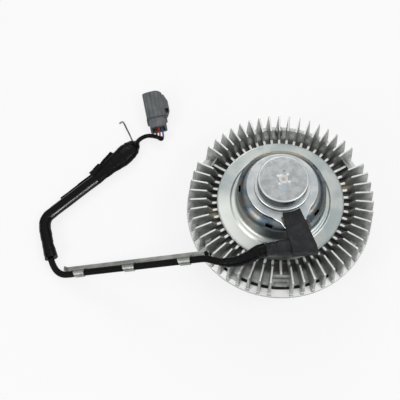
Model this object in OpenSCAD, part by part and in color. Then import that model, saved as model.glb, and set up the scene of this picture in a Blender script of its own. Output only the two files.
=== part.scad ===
// Viscous fan clutch with an electric coil, lying on its hub nut with the front side up.
// The turning axis is Z. The harness leaves the front of the coil and lies on the table.

/* [Casting] */
// Radius of the cooling fins at their top tips
fin_tip_r = 98; // [94:0.5:106]
// Radius of the fan flange, the widest part of the rear body
flange_r = 102.2; // [101:0.2:112]
// Height of the underside of the fan flange above the table
flange_z = 31; // [30:0.5:34]
// Thickness of the fan flange at its edge
flange_t = 4; // [3:0.25:5]
// Height of the joint between the two castings above the flange underside
parting_h = 10; // [9:0.5:12]
// Height of the fin tips above the joint between the castings
fin_h = 27; // [24:0.5:32]
// Number of places for fins round the cover
fin_places = 54; // [42:6:66]
// Thickness of a fin at its foot
fin_base_t = 4.2; // [3:0.1:4.6]
// Thickness of a fin at its top edge
fin_top_t = 1.7; // [1.2:0.1:2.2]
// Radius where the outer fins begin
fin_inner_r = 79; // [78:0.5:82]
// How far the inner end of a fin leans inwards, down to its short rib
fin_lean = 5.4; // [4:0.2:7]
// Wall of the castings round the oil chamber
casting_wall = 3.5; // [3:0.25:4.5]
// Width of the rear fins, front to back
rear_fin_h = 9; // [6:0.5:10]
// Number of rear fins
rear_fin_count = 36; // [24:4:40]
// Number of bolts that hold the fan
fan_bolts = 4; // [3:1:6]
// Radius of the circle of fan bolts
fan_bolt_r = 66; // [60:0.5:68]
// Radius of the threaded holes for the fan bolts
fan_thread_r = 3.4; // [2.5:0.1:4.2]
// Number of screws that join the castings
screw_count = 3; // [3:3:6]
// Radius of the screws that join the castings
screw_shank_r = 2; // [1.5:0.1:2.2]

/* [Rotor] */
// Radius of the rotor
rotor_r = 80.5; // [78:0.5:82]
// Radial room between the rotor and the chamber wall
rotor_gap = 1.1; // [0.8:0.1:1.6]
// Thickness of the rotor disc
rotor_t = 4.8; // [4:0.2:6]
// Axial gap left for oil on each side of the rotor
oil_gap = 0.8; // [0.6:0.1:1.2]
// Height of the ring lands on the rotor
land_h = 6.8; // [5:0.2:8]
// Wall of one ring land
land_t = 1.6; // [1.2:0.1:2]
// Radial pitch of the ring lands
land_pitch = 5; // [4.6:0.1:5.4]
// Number of ring lands on the rotor
land_count = 5; // [3:1:5]
// Thickness of the nut on the shaft nose
rotor_nut_h = 3.2; // [2.4:0.2:4]

/* [Valve] */
// Lift of the valve when the coil is on
valve_lift = 1.2; // [0.8:0.1:1.3]
// Outer radius of the armature ring
armature_r = 32.5; // [31:0.25:34]
// Thickness of the armature ring
armature_t = 2.2; // [1.6:0.1:2.6]
// Radius of the oil ports in the reservoir plate
port_r = 3; // [2:0.1:3.2]
// Radius of the pads that cover the oil ports
valve_pad_r = 4.2; // [3.8:0.1:4.5]
// Radius of the wire of the valve spring
spring_wire_r = 0.8; // [0.5:0.05:1]
// Turns of the valve spring
spring_turns = 3; // [2:1:4]

/* [Input shaft] */
// Size of the hub nut across its flats
nut_af = 36; // [34:0.5:40]
// Height of the hub nut
nut_h = 12.5; // [10:0.5:14]
// Radius of the threaded hole in the hub nut, at the crest of its thread
hub_thread_r = 10.9; // [9:0.1:12]
// Depth of the threaded hole
hub_thread_depth = 24; // [20:1:28]
// Radius of the shaft in the main bearing
shaft_r = 15; // [14:0.5:17]
// Radius of the shaft nose that carries the rotor
shaft_nose_r = 12; // [11:0.5:13]

/* [Bearings] */
// Outer radius of the main bearing
main_bearing_r = 31; // [29:0.5:33]
// Width of the main bearing
main_bearing_w = 16; // [14:0.5:18]
// Radius of the balls in the main bearing
main_ball_r = 4.2; // [3.6:0.1:4.6]
// Number of balls in the main bearing
main_ball_count = 9; // [7:1:11]
// Outer radius of the coil bearing
coil_bearing_r = 21; // [20:0.5:22]
// Width of the coil bearing
coil_bearing_w = 12; // [10:0.5:13]
// Radius of the balls in the coil bearing
coil_ball_r = 3; // [2.6:0.1:3.3]
// Number of balls in the coil bearing
coil_ball_count = 9; // [7:1:11]
// Radius of the steel spindle on the front cover
spindle_r = 10; // [9:0.5:11]
// Room between a ball and its grooves
ball_room = 0.06; // [0.03:0.01:0.1]

/* [Shield] */
// Width of the flat rim of the shield
shield_rim_w = 13.6; // [11:0.2:14]
// Width of the rounded bead between the rim and the wall of the shield
shield_bead_w = 7; // [6:0.25:8]
// Lean of the shield wall between its foot and its slots
shield_lean = 0.3; // [0.2:0.1:1.5]
// Width of the shoulder between the wall of the shield and its opening
shield_shoulder_w = 10.6; // [9.6:0.1:11]
// Radial room between the steel shell of the coil and the opening of the shield
shield_room = 2.6; // [2.4:0.1:3.2]
// Height of the shield from its rim to its top
shield_h = 32; // [29:0.5:33]
// Thickness of the sheet of the shield
shield_t = 1.5; // [1:0.1:1.6]
// Number of slots in the shield
shield_slots = 5; // [3:1:8]

/* [Coil unit] */
// Radius of the round part of the coil carrier plate
plate_r = 37; // [36:0.5:38]
// Thickness of the coil carrier plate
plate_t = 2; // [1.5:0.25:3]
// Height of the gap between the shield and the carrier plate
plate_gap = 2; // [1.5:0.25:3]
// Outer radius of the steel shell of the coil
coil_shell_r = 33.5; // [32.5:0.25:34]
// Wall of the steel shell of the coil
coil_shell_t = 2; // [1.5:0.25:2.5]
// Width of the coil from its inner to its outer shell
coil_w = 12; // [10:0.5:13]
// Height of the coil above the dome of the cover
coil_gap = 2; // [1.5:0.25:3]
// Radius of the flange of the bearing carrier
carrier_flange_r = 29; // [28:0.25:30]
// Outer radius of the cap
cap_r = 26; // [25:0.25:27]
// Height of the cap
cap_h = 13; // [12.5:0.5:16]
// Wall of the cap
cap_wall = 1.6; // [1.2:0.1:2]

/* [Lead block] */
// Direction of the lead block round the axis, in degrees
block_angle = -73.7; // [-80:1:-70]
// Distance of the outer end of the lead block from the axis
block_end = 76; // [74:0.5:80]
// Width of the lead block
block_w = 22; // [20:0.5:24]
// Height of the thick outer part of the lead block
block_h = 15; // [13:0.5:16]
// Radius of the conduit adapter where it enters the lead block
adapter_r = 8.2; // [7.6:0.1:8.6]

/* [Harness] */
// Radius of the corrugated conduit
conduit_r = 3.8; // [3.2:0.1:4]
// Radius of the taped loom
loom_r = 7.2; // [6:0.1:7.3]
// Radius of the thin lead to the plug
lead_r = 2.6; // [2:0.1:3]
// Thickness of the harness strip
strip_t = 1.8; // [1.2:0.1:2]
// Length of the harness strip
strip_len = 174; // [160:1:174]
// Width of the plug body
plug_w = 24; // [22:0.5:26]
// Height of the plug body
plug_h = 18; // [16:0.5:19]
// Length of the plug from its rear cover to its nose
plug_len = 50; // [48:1:54]

/* [Hidden] */
eps = 0.01;
$fn = 96;

// Heights of the castings
parting_z = flange_z + parting_h;
fin_top_z = parting_z + fin_h;
floor_z = flange_z;
chamber_r = rotor_r + rotor_gap;
spigot_t = 2.4;
spigot_h = 3;
spigot_r = chamber_r + spigot_t;
joint_r = spigot_r + 8.5;
seal_section_r = 0.9;
seal_r = spigot_r + seal_section_r + 0.2;
joint_gap = 0.5;
fin_foot_r = flange_r - 0.6;
fin_slope = (fin_foot_r - fin_tip_r) / (fin_top_z - flange_z - flange_t);
fin_pitch = 360 / fin_places;

// Heights of the rotor and the cover above it
rotor_z = floor_z + oil_gap;
land_base_z = rotor_z + rotor_t;
land_top_z = land_base_z + land_h;
roof_z = land_top_z + oil_gap;
land_outer_r = rotor_r - land_t;
cover_land_r = land_outer_r - land_pitch / 2;

// Radii of the shield, from its opening out to its rim
shield_open_r = coil_shell_r + shield_room;
shield_wall_r = shield_open_r + shield_shoulder_w;
shield_foot_r = shield_wall_r + shield_lean;
shield_rim_in_r = shield_foot_r + shield_bead_w;
shield_r = shield_rim_in_r + shield_rim_w;
shoulder_h = 8.8;
slot_w = 7.6;
slot_h = 3.8;

// The oil reservoir inside the cover
reservoir_plate_t = 2;
reservoir_plate_r = land_outer_r - land_count * land_pitch - 0.4;
reservoir_r = reservoir_plate_r - 4;
reservoir_h = 6.5;
seat_z = roof_z + reservoir_plate_t + reservoir_h + casting_wall;
dome_wall = 4;
dome_r = shield_foot_r - shield_t - 3.5;
dome_in_r = dome_r - dome_wall;
dome_top_z = seat_z + 9.5;
dome_roof_z = dome_top_z - dome_wall;
port_at_r = reservoir_r - 6;
return_r = 1.4;
return_boss_w = 6.2;
return_z = roof_z + reservoir_plate_t + 2.2;
return_at_r = (land_outer_r - land_pitch / 2 + land_t / 2 + chamber_r) / 2;
flux_ring_w = 4;
flux_ring_h = 2.5;

// The valve under the dome, shut and resting on the reservoir plate
valve_z = roof_z + reservoir_plate_t + 0.15;
valve_t = 1.4;
armature_z = dome_roof_z - valve_lift - 0.2 - armature_t;
spindle_flange_t = 3;
spindle_flange_r = spindle_r + 3;
cup_r = spindle_flange_r + 3;
cup_wall = 1.5;
cup_z = valve_z + 2.4;
guide_r = 3.6;
spring_coil_r = spindle_flange_r - spring_wire_r - 0.5;
spring_bottom_z = cup_z + valve_t + spring_wire_r;
spring_top_z = dome_roof_z - spindle_flange_t - spring_wire_r;

// The ribs round the shield
seat_edge_r = shield_r - 0.6;
rib_top_z = seat_z - 0.3;
rib_end_r = fin_inner_r - fin_lean;
rib_floor_z = roof_z + casting_wall + 0.8;
skin_break_r = fin_inner_r + 1;
pocket_wall_r = 84;
pocket_wall_t = 1.8;
pocket_wall_z = seat_z + 1;
screw_r = spigot_r + 5;
screw_boss_r = screw_shank_r + 2.2;
screw_head_r = screw_shank_r + 1.4;
screw_head_h = 3;
screw_seat_z = flange_z - 3;
screw_grip = 10;
screw_top_z = parting_z + screw_grip;
fan_pad_z = floor_z - 5 - rear_fin_h;
fan_pad_r = fan_thread_r + 5.6;
fan_thread_depth = 11;
rear_wall_z = floor_z - 6;

// The shield and the coil unit above it
shield_top_z = seat_z + shield_t + shield_h;
plate_z = shield_top_z + plate_gap;
plate_top_z = plate_z + plate_t;
bearing_z = plate_top_z;
cap_z = plate_top_z + 4;
cap_top_z = cap_z + cap_h;
cap_roof = 1.5;
spindle_top_z = bearing_z + coil_bearing_w + 2.5;
ring_t = 1.2;
coil_z = dome_top_z + coil_gap;
bobbin_t = 0.8;
bobbin_z = coil_z + 1;
coil_shell_in_r = coil_shell_r - coil_w;
magnet_in_r = coil_shell_r + 0.9;
magnet_w = 3.2;
magnet_h = 2.4;
sensor_depth = shield_room - 1;
sensor_w = 6;

// The main bearing and the shaft
main_z = floor_z - 1 - main_bearing_w;
collar_h = main_z - nut_h;
main_race_t = (main_bearing_r - shaft_r) * 0.31;
main_pitch_r = (main_bearing_r + shaft_r) / 2;
coil_race_t = (coil_bearing_r - spindle_r) * 0.32;
coil_pitch_r = (coil_bearing_r + spindle_r) / 2;
hub_wall = 6;
hub_bottom_z = main_z - 3;
circlip_t = 1.3;
bearing_stop_z = main_z + main_bearing_w;
bearing_lip_r = main_bearing_r - 3.5;
nose_top_z = land_top_z - 0.6;
nut_seat_z = nose_top_z - rotor_nut_h;

// The block that takes the coil's leads out
block_top_z = plate_top_z + 3.5;
block_in_u = carrier_flange_r + 2;
block_step_u = plate_r + 10;
block_bevel = 6;
block_flare = 3;
lead_bore_r = 3;
adapter_z = block_top_z - 10;
adapter_y = -67.5;
adapter_end_x = -17;
adapter_tilt = 8;
adapter_len = 27;
adapter_end_r = adapter_r - 2;

// The harness, a strip that leans on the table with the conduit on it
slope = atan(5 / 12);
strip_start = [-80, -73.5, 72.3];
strip_w = 11;
tab_starts = [13.5, 80, 143.5];
tab_len = 16;
tab_slant = 4;
tab_t = 1.2;
button_r = 2.2;
button_y = conduit_r + button_r + 0.5;
boot_end_r = conduit_r + 0.8;
wrap_r = 12.5;
wire_r = 1.1;
hook_r = 0.9;

// The route of the harness from the adapter to the plug
ROUTE = [
  [-17, -67.5, 87], [-24, -69.5, 86.6], [-32, -74, 85], [-42, -78, 82.5], [-52, -79.5, 80],
  [-62, -78.5, 77.5], [-72, -75.5, 75.3], [-80, -73.5, 72.3], [-100, -73.5, 64], [-124, -73.5, 54],
  [-148, -73.5, 44], [-172, -73.5, 34], [-196, -73.5, 24], [-220, -73.5, 14], [-238, -73.5, 6.5],
  [-247, -70, 4.4], [-253, -63, 4.4], [-256.5, -55, 7.4],
  [-260.5, -42, 7.4], [-264.5, -29, 7.4], [-268, -16, 7.4], [-267, -6, 7.4], [-260, 2, 7.4],
  [-242, 18.5, 7.4], [-224, 35, 7.4], [-214, 44, 7.4],
  [-206, 52.5, 7.4], [-196, 63.5, 8], [-186, 73, 7.8], [-178, 82, 8], [-172, 91, 6.6],
  [-169, 96, 4.4], [-166.5, 100, 4], [-162, 103.5, 4], [-156.5, 105, 5], [-150, 103.8, 7],
  [-144.5, 101.5, 9]
];
boot_last = 5;
conduit_last = 17;
// How much thinner the loom is at each point of its sleeve
SLEEVE_THIN = [0, 0, 0.1, 0.2, 0.4, 0.6, 0.8, 0.8, 0.4];
sleeve_last = 25;
wrap_last = 31;
wrap_flat = 0.62;

// The plug on the table
plug_turn = 13.5;
plug_at = [-142.5, 112, 0];
plug_cover_len = 13;
plug_wall = 1.8;
plug_corner_r = 3;
latch_y = plug_cover_len + 3;
latch_reach = 5.5;
plug_mouth = 22;
mouth_y = plug_len - plug_mouth;
core_w = plug_w - 2 * plug_wall - 3.4;
core_h = plug_h - 2 * plug_wall - 3.4;
plug_seal_t = 1.2;
plug_seal_len = 3;
WIRES = [
  [[-144.5, 101.5, 9], [-144.4, 103.6, 9.2], [-145, 106.5, 9.3], [-146.1, 110.1, 9], [-147.3, 115, 9]],
  [[-144.5, 101.5, 9], [-142.2, 101.2, 9.2], [-140.8, 104, 9.4], [-142.2, 111, 9], [-143.4, 115.9, 9]],
  [[-144.5, 101.5, 9], [-140, 98.8, 9.2], [-136.6, 101, 9.4], [-138.3, 111.9, 9], [-139.5, 116.8, 9]]
];
HOOK = [
  [-173, 95, 5], [-175.5, 99.5, 6], [-178.5, 106, 5.5], [-183, 115, 3.5], [-187.5, 124, 2], [-190, 126, 2],
  [-193, 123.5, 2]
];

function unit(v) = v / norm(v);

function tangent(route, i) =
  unit(route[min(i + 1, len(route) - 1)] - route[max(i - 1, 0)]);

function side(route, i) = unit(cross(tangent(route, i), [0, 0, 1]));

// One ring of corners of a tube, square to the route at its point i
function tube_ring(route, i, r, sides, flat) =
  let (s = side(route, i), u = cross(s, tangent(route, i)))
  [for (k = [0:sides - 1]) route[i] + r * (cos(360 * k / sides) * s + flat * sin(360 * k / sides) * u)];

// A tube along the points first to last of a route, with one half width per point
module tube(route, first, last, radii, sides = 10, flat = 1) {
  rings = last - first + 1;
  corners = [for (i = [first:last]) each tube_ring(route, i, radii[i - first], sides, flat)];
  walls = [
    for (j = [0:rings - 2], k = [0:sides - 1])
      let (a = j * sides, n = (k + 1) % sides)
      each [[a + k, a + n, a + sides + n], [a + k, a + sides + n, a + sides + k]]
  ];
  start = [for (k = [sides - 1:-1:0]) k];
  end = [for (k = [0:sides - 1]) (rings - 1) * sides + k];
  polyhedron(points = corners, faces = concat(walls, [start, end]), convexity = 6);
}

function same(r, n) = [for (i = [1:n]) r];

module ring(r_out, r_in, z, h) {
  translate([0, 0, z]) difference() {
    cylinder(r = r_out, h = h);
    translate([0, 0, -1]) cylinder(r = r_in, h = h + 2);
  }
}

module round_rect(w, h, r) {
  square([w - 2 * r, h], center = true);
  square([w, h - 2 * r], center = true);
  for (x = [-1, 1], y = [-1, 1]) translate([x * (w / 2 - r), y * (h / 2 - r)]) circle(r = r, $fn = 24);
}

function is_pocket(k) = (k % (fin_places / 3)) == fin_places / 6;

function fin_t(z) = fin_top_t + (fin_base_t - fin_top_t) * (fin_top_z - z) / (fin_top_z - flange_z);

// Bars for all the fins that pass a test, each thinner towards its top edge
module fin_bars(r_in, r_out, pockets) {
  low = flange_z - 1;
  high = fin_top_z + 1;
  for (k = [0:fin_places - 1])
    if (is_pocket(k) == pockets)
      rotate(90 - fin_pitch * k) translate([r_in, 0, 0]) rotate([90, 0, 90]) linear_extrude(r_out - r_in)
        polygon([
          [-fin_t(low) / 2, low], [fin_t(low) / 2, low], [fin_t(high) / 2, high], [-fin_t(high) / 2, high]
        ]);
}

function fin_edge_r(z) = fin_tip_r + fin_slope * (fin_top_z - z);

// Section of an outer fin with its leaning inner end and its short rib
fin_section = [
  [seat_edge_r - 1, rib_floor_z - 1], [seat_edge_r - 1, rib_top_z], [rib_end_r, rib_top_z],
  [fin_inner_r, fin_top_z], [fin_tip_r, fin_top_z],
  [fin_edge_r(parting_z + joint_gap), parting_z + joint_gap], [joint_r - 1, parting_z + joint_gap],
  [skin_break_r + 4, parting_z + 4], [skin_break_r, rib_floor_z - 1]
];

// Section of the rib in a pocket, which runs out to the pocket's wall
pocket_rib_section = [
  [seat_edge_r - 1, rib_floor_z - 1], [seat_edge_r - 1, rib_top_z], [pocket_wall_r + 1, rib_top_z],
  [pocket_wall_r + 1, parting_z + 4.4], [skin_break_r, rib_floor_z - 1]
];

// Section of the front cover, from the spindle hole out to the joint and back inside
cover_section = [
  [spindle_r, dome_roof_z], [spindle_r, dome_top_z], [dome_r, dome_top_z], [dome_r, seat_z],
  [seat_edge_r, seat_z], [seat_edge_r + 0.8, rib_floor_z], [skin_break_r, rib_floor_z],
  [joint_r - 5, parting_z + 4.8], [joint_r, parting_z + 2],
  [joint_r, parting_z + joint_gap], [joint_r - 2, parting_z + joint_gap], [joint_r - 2, parting_z],
  [spigot_r, parting_z], [spigot_r, parting_z - spigot_h], [chamber_r, parting_z - spigot_h],
  [chamber_r, roof_z], [reservoir_plate_r, roof_z], [reservoir_plate_r, roof_z + reservoir_plate_t],
  [reservoir_r, roof_z + reservoir_plate_t], [reservoir_r, seat_z - casting_wall],
  [dome_in_r, seat_z - casting_wall], [dome_in_r, dome_roof_z]
];

module place_round(count, start = 0) {
  for (i = [0:count - 1]) rotate(start + 360 * i / count) children();
}

module front_cover() {
  color("silver") difference() {
    union() {
      rotate_extrude($fn = 144) polygon(cover_section);
      for (i = [0:land_count - 1])
        ring(cover_land_r - i * land_pitch + land_t / 2, cover_land_r - i * land_pitch - land_t / 2,
          land_base_z + oil_gap, roof_z - land_base_z - oil_gap + 0.5);
      intersection() {
        rotate_extrude($fn = 144) polygon(fin_section);
        fin_bars(seat_edge_r - 4, flange_r + 2, false);
      }
      intersection() {
        rotate_extrude($fn = 144) polygon(pocket_rib_section);
        fin_bars(seat_edge_r - 4, flange_r + 2, true);
      }
      place_round(3, 30) pocket_wall();
      place_round(2, 2 * fin_pitch) return_boss();
      place_round(screw_count, 90) translate([screw_r, 0, parting_z + 1.2])
        cylinder(r = screw_boss_r, h = screw_top_z + 1 - parting_z, $fn = 32);
    }
    place_round(screw_count, 90) translate([screw_r, 0, parting_z - 1])
      cylinder(r = screw_shank_r, h = screw_top_z + 1 - parting_z, $fn = 32);
    place_round(2, 2 * fin_pitch) return_passage();
    flux_groove(coil_shell_in_r, coil_shell_in_r + flux_ring_w);
    flux_groove(coil_shell_r - flux_ring_w - 0.5, coil_shell_r - 0.5);
  }
}

// Raised bar between two fins over a return passage
module return_boss() {
  translate([seat_edge_r - 2, -return_boss_w / 2, rib_floor_z - 2])
    cube([return_at_r + 3 - seat_edge_r + 2, return_boss_w, return_z + return_r + 2 - rib_floor_z + 2]);
}

// Passage that takes oil from the edge of the chamber back to the reservoir
module return_passage() {
  translate([reservoir_r - 1, 0, return_z]) rotate([0, 90, 0])
    cylinder(r = return_r, h = return_at_r - reservoir_r + 1, $fn = 24);
  translate([return_at_r, 0, roof_z - 1]) cylinder(r = return_r, h = return_z - roof_z + 1, $fn = 24);
}

// Wall and pad in a gap where one outer fin is left out
module pocket_wall() {
  half = pocket_wall_r * sin(fin_pitch);
  translate([pocket_wall_r, -half, parting_z + 4])
    cube([pocket_wall_t, 2 * half, pocket_wall_z - parting_z - 4]);
  translate([pocket_wall_r + 4.5, -6.5, parting_z + joint_gap]) cube([4.5, 13, 4.5]);
}

module flux_groove(r_in, r_out) {
  ring(r_out, r_in, dome_top_z - flux_ring_h, flux_ring_h + 1);
}

module rear_body() {
  color("silver") difference() {
    union() {
      rotate_extrude($fn = 144) polygon([
        [main_bearing_r, hub_bottom_z], [main_bearing_r + hub_wall, hub_bottom_z],
        [main_bearing_r + hub_wall + 1, rear_wall_z - 1.5], [chamber_r + 2, rear_wall_z],
        [chamber_r + 8, flange_z], [flange_r, flange_z], [flange_r, flange_z + flange_t - 0.8],
        [flange_r - 0.8, flange_z + flange_t], [joint_r + 0.5, parting_z - joint_gap],
        [joint_r - 2, parting_z - joint_gap], [joint_r - 2, parting_z], [spigot_r, parting_z],
        [spigot_r, floor_z + 2.5], [spigot_r - 2.5, floor_z], [bearing_lip_r, floor_z],
        [bearing_lip_r, bearing_stop_z], [main_bearing_r, bearing_stop_z]
      ]);
      intersection() {
        rotate_extrude($fn = 144) polygon([
          [joint_r - 1, flange_z + 1], [joint_r - 1, parting_z - joint_gap],
          [fin_edge_r(parting_z - joint_gap), parting_z - joint_gap],
          [fin_foot_r, flange_z + flange_t], [fin_foot_r, flange_z + 1]
        ]);
        fin_bars(joint_r - 3, flange_r + 2, false);
      }
      place_round(3, 0) translate([joint_r, -4, flange_z + 2]) cube([5.5, 8, parting_h - 2 - joint_gap]);
      rear_fins();
      place_round(fan_bolts, 45) translate([fan_bolt_r, 0, fan_pad_z])
        cylinder(r = fan_pad_r, h = floor_z - 1 - fan_pad_z);
      place_round(screw_count, 90) translate([screw_r, 0, screw_seat_z])
        cylinder(r = screw_boss_r, h = parting_z - 1 - screw_seat_z, $fn = 32);
    }
    place_round(fan_bolts, 45) translate([fan_bolt_r, 0, fan_pad_z - 1])
      cylinder(r = fan_thread_r, h = fan_thread_depth + 1);
    place_round(screw_count, 90) translate([screw_r, 0, screw_seat_z - 1])
      cylinder(r = screw_shank_r, h = parting_z + 2 - screw_seat_z, $fn = 32);
    ring(seal_r + seal_section_r + 0.2, spigot_r - 1, parting_z - 2 * seal_section_r, 5);
    ring(main_bearing_r + 1.2, main_bearing_r - 1, main_z - circlip_t, circlip_t);
  }
}

// Straight fins on the back of the rear body, out to the fan flange
module rear_fins() {
  fin_half = 1.2;
  intersection() {
    rotate_extrude($fn = 144) polygon([
      [main_bearing_r + 2, rear_wall_z - rear_fin_h], [chamber_r - 3, rear_wall_z - rear_fin_h + 4],
      [chamber_r + 6, flange_z - 0.5], [chamber_r + 2, floor_z - 5], [main_bearing_r + 2, floor_z - 5]
    ]);
    translate([0, 0, 2]) linear_extrude(flange_z) place_round(rear_fin_count, 5) polygon([
      [main_bearing_r + 2, -fin_half], [chamber_r + 8, -fin_half], [chamber_r + 8, fin_half],
      [main_bearing_r + 2, fin_half]
    ]);
  }
}

module cover_screws() {
  color("gainsboro") place_round(screw_count, 90) translate([screw_r, 0, 0]) {
    translate([0, 0, screw_seat_z]) cylinder(r = screw_shank_r, h = screw_top_z - screw_seat_z, $fn = 32);
    translate([0, 0, screw_seat_z - screw_head_h]) difference() {
      cylinder(r = screw_head_r, h = screw_head_h, $fn = 32);
      translate([0, 0, -1]) cylinder(r = screw_head_r * 0.55, h = 2.6, $fn = 6);
    }
  }
}

module cover_seal() {
  color("dimgray") translate([0, 0, parting_z - seal_section_r])
    rotate_extrude() translate([seal_r, 0]) circle(r = seal_section_r, $fn = 24);
}

module reservoir_plate() {
  color("gainsboro") difference() {
    translate([0, 0, roof_z]) cylinder(r = reservoir_plate_r, h = reservoir_plate_t);
    place_round(2, 90) translate([port_at_r, 0, roof_z - 1]) cylinder(r = port_r, h = reservoir_plate_t + 2);
  }
}

module flux_rings() {
  z = dome_top_z - flux_ring_h;
  color("slategray") {
    ring(coil_shell_in_r + flux_ring_w, coil_shell_in_r, z, flux_ring_h);
    ring(coil_shell_r - 0.5, coil_shell_r - flux_ring_w - 0.5, z, flux_ring_h);
  }
}

module shield() {
  color("lightsteelblue") difference() {
    rotate_extrude($fn = 144) polygon([
      [shield_rim_in_r, seat_z], [shield_r, seat_z], [shield_r, seat_z + shield_t + 0.6],
      [shield_r - 1, seat_z + shield_t], [shield_rim_in_r, seat_z + shield_t],
      [shield_rim_in_r - 2, seat_z + shield_t + 2], [shield_foot_r + 2.5, seat_z + shield_t + 2],
      [shield_foot_r, seat_z + shield_t + 4], [shield_wall_r, shield_top_z - shoulder_h],
      [shield_wall_r - 0.7, shield_top_z - 6.5], [shield_open_r + 5.9, shield_top_z - 2.3],
      [shield_open_r + 3.1, shield_top_z - 0.5], [shield_open_r + 0.9, shield_top_z],
      [shield_open_r, shield_top_z], [shield_open_r, shield_top_z - shield_t],
      [shield_open_r + 2.5, shield_top_z - shield_t - 0.4], [shield_open_r + 4.9, shield_top_z - shield_t - 2],
      [shield_wall_r - 2, shield_top_z - shield_t - 5.7],
      [shield_wall_r - shield_t, shield_top_z - shoulder_h - 0.2], [shield_foot_r - shield_t, seat_z + 4],
      [shield_foot_r + 1.6, seat_z + 2],
      [shield_rim_in_r - 2.6, seat_z + 2]
    ]);
    place_round(shield_slots, 36)
      translate([shield_wall_r - 2.6, 0, shield_top_z - 4.5]) rotate([0, 46, 0])
        cube([slot_h, slot_w, 8], center = true);
  }
}

// Steel stub riveted in the dome, with a guide for the valve under its flange
module spindle() {
  flange_bottom_z = dome_roof_z - spindle_flange_t;
  color("silver") difference() {
    union() {
      translate([0, 0, flange_bottom_z]) cylinder(r = spindle_flange_r, h = spindle_flange_t);
      translate([0, 0, cup_z - 1.2]) cylinder(r = guide_r, h = flange_bottom_z + 1 - cup_z + 1.2);
      translate([0, 0, flange_bottom_z]) cylinder(r = spindle_r, h = spindle_top_z - flange_bottom_z);
      translate([0, 0, dome_top_z]) cylinder(r = spindle_r + 2.5, h = bearing_z - dome_top_z);
    }
    ring(spindle_r + 5, spindle_r - 0.8, bearing_z + coil_bearing_w, ring_t);
  }
}

module spindle_ring() {
  color("dimgray") ring(spindle_r + 2, spindle_r - 0.8, bearing_z + coil_bearing_w, ring_t);
}

module sensor_magnet() {
  color("darkslategray") ring(magnet_in_r + magnet_w, magnet_in_r, dome_top_z, magnet_h);
}

// Steel ring that the coil lifts, with a cup for the spring and two arms with valve pads
module valve_armature() {
  leg_t = armature_t + 0.2;
  leg_r = armature_r - leg_t - 0.4;
  arm_w = 2 * port_r;
  color("slategray") difference() {
    union() {
      ring(armature_r, cup_r, armature_z, armature_t);
      ring(cup_r + cup_wall, cup_r, cup_z, armature_z + 1 - cup_z);
      ring(cup_r + cup_wall, guide_r + 0.4, cup_z, valve_t);
      place_round(2, 90) {
        translate([leg_r, -arm_w / 2, valve_z]) cube([leg_t, arm_w, armature_z + 1 - valve_z]);
        translate([leg_r, -arm_w / 2, valve_z]) cube([port_at_r - leg_r, arm_w, valve_t]);
        translate([port_at_r, 0, valve_z]) cylinder(r = valve_pad_r, h = valve_t);
      }
    }
    place_round(6, 30) translate([(armature_r + cup_r + cup_wall) / 2, 0, armature_z - 1])
      cylinder(r = port_r, h = armature_t + 2, $fn = 32);
  }
}

module valve_spring() {
  steps = spring_turns * 16;
  rise = (spring_top_z - spring_bottom_z) / steps;
  coil = [
    for (i = [0:steps])
      [spring_coil_r * cos(22.5 * i), spring_coil_r * sin(22.5 * i), spring_bottom_z + rise * i]
  ];
  color("silver") tube(coil, 0, steps, same(spring_wire_r, steps + 1), 8);
}

module input_shaft() {
  color("gray") difference() {
    union() {
      cylinder(r = nut_af / 2 / cos(30), h = nut_h, $fn = 6);
      translate([0, 0, nut_h - eps]) cylinder(r = shaft_r + 4, h = collar_h + eps);
      translate([0, 0, main_z - eps]) cylinder(r = shaft_r, h = main_bearing_w + eps);
      translate([0, 0, bearing_stop_z - eps])
        cylinder(r = shaft_nose_r, h = nose_top_z - bearing_stop_z + eps);
    }
    translate([0, 0, -1]) cylinder(r = hub_thread_r, h = hub_thread_depth + 1);
    translate([0, 0, -eps]) cylinder(r1 = hub_thread_r + 1.2, r2 = hub_thread_r, h = 1.2);
  }
}

module rotor() {
  hub_z = bearing_stop_z;
  color("lightgray") difference() {
    union() {
      rotate_extrude($fn = 144) polygon([
        [shaft_nose_r, hub_z], [shaft_r + 4, hub_z], [shaft_r + 4, rotor_z], [rotor_r, rotor_z],
        [rotor_r, land_base_z], [shaft_nose_r + 12, land_base_z], [shaft_nose_r + 9, nut_seat_z],
        [shaft_nose_r, nut_seat_z]
      ]);
      for (i = [0:land_count - 1])
        ring(land_outer_r - i * land_pitch + land_t / 2, land_outer_r - i * land_pitch - land_t / 2,
          land_base_z - 0.5, land_h + 0.5);
    }
    place_round(6) translate([reservoir_r - 4, 0, rotor_z - 1]) cylinder(r = 3, h = 8);
  }
}

module rotor_nut() {
  color("dimgray") translate([0, 0, nut_seat_z]) difference() {
    cylinder(r = shaft_nose_r + 6, h = rotor_nut_h, $fn = 6);
    translate([0, 0, -1]) cylinder(r = shaft_nose_r, h = rotor_nut_h + 2);
  }
}

module bearing_circlip() {
  color("dimgray") difference() {
    ring(main_bearing_r + 1.1, main_bearing_r - 3, main_z - circlip_t, circlip_t);
    translate([0, -3, main_z - 3]) cube([60, 6, 4]);
  }
}

// One race of a ball bearing with the groove for its balls
module race(r_out, r_in, z, w, pitch_r, ball_r) {
  translate([0, 0, z]) rotate_extrude() difference() {
    translate([r_in, 0]) square([r_out - r_in, w]);
    translate([pitch_r, w / 2]) circle(r = ball_r + ball_room, $fn = 48);
  }
}

module balls(count, pitch_r, ball_r, z) {
  place_round(count) translate([pitch_r, 0, z]) sphere(r = ball_r, $fn = 32);
}

// A crown-shaped cage between the races, a ring with a pocket for each ball
module ball_cage(count, pitch_r, ball_r, z) {
  difference() {
    ring(pitch_r + 0.6, pitch_r - 0.6, z - ball_r * 0.5, ball_r * 1.5 + 1.2);
    place_round(count) translate([0, 0, z]) rotate([0, 90, 0])
      cylinder(r = ball_r + 0.02, h = pitch_r * 2, $fn = 32);
  }
}

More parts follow.
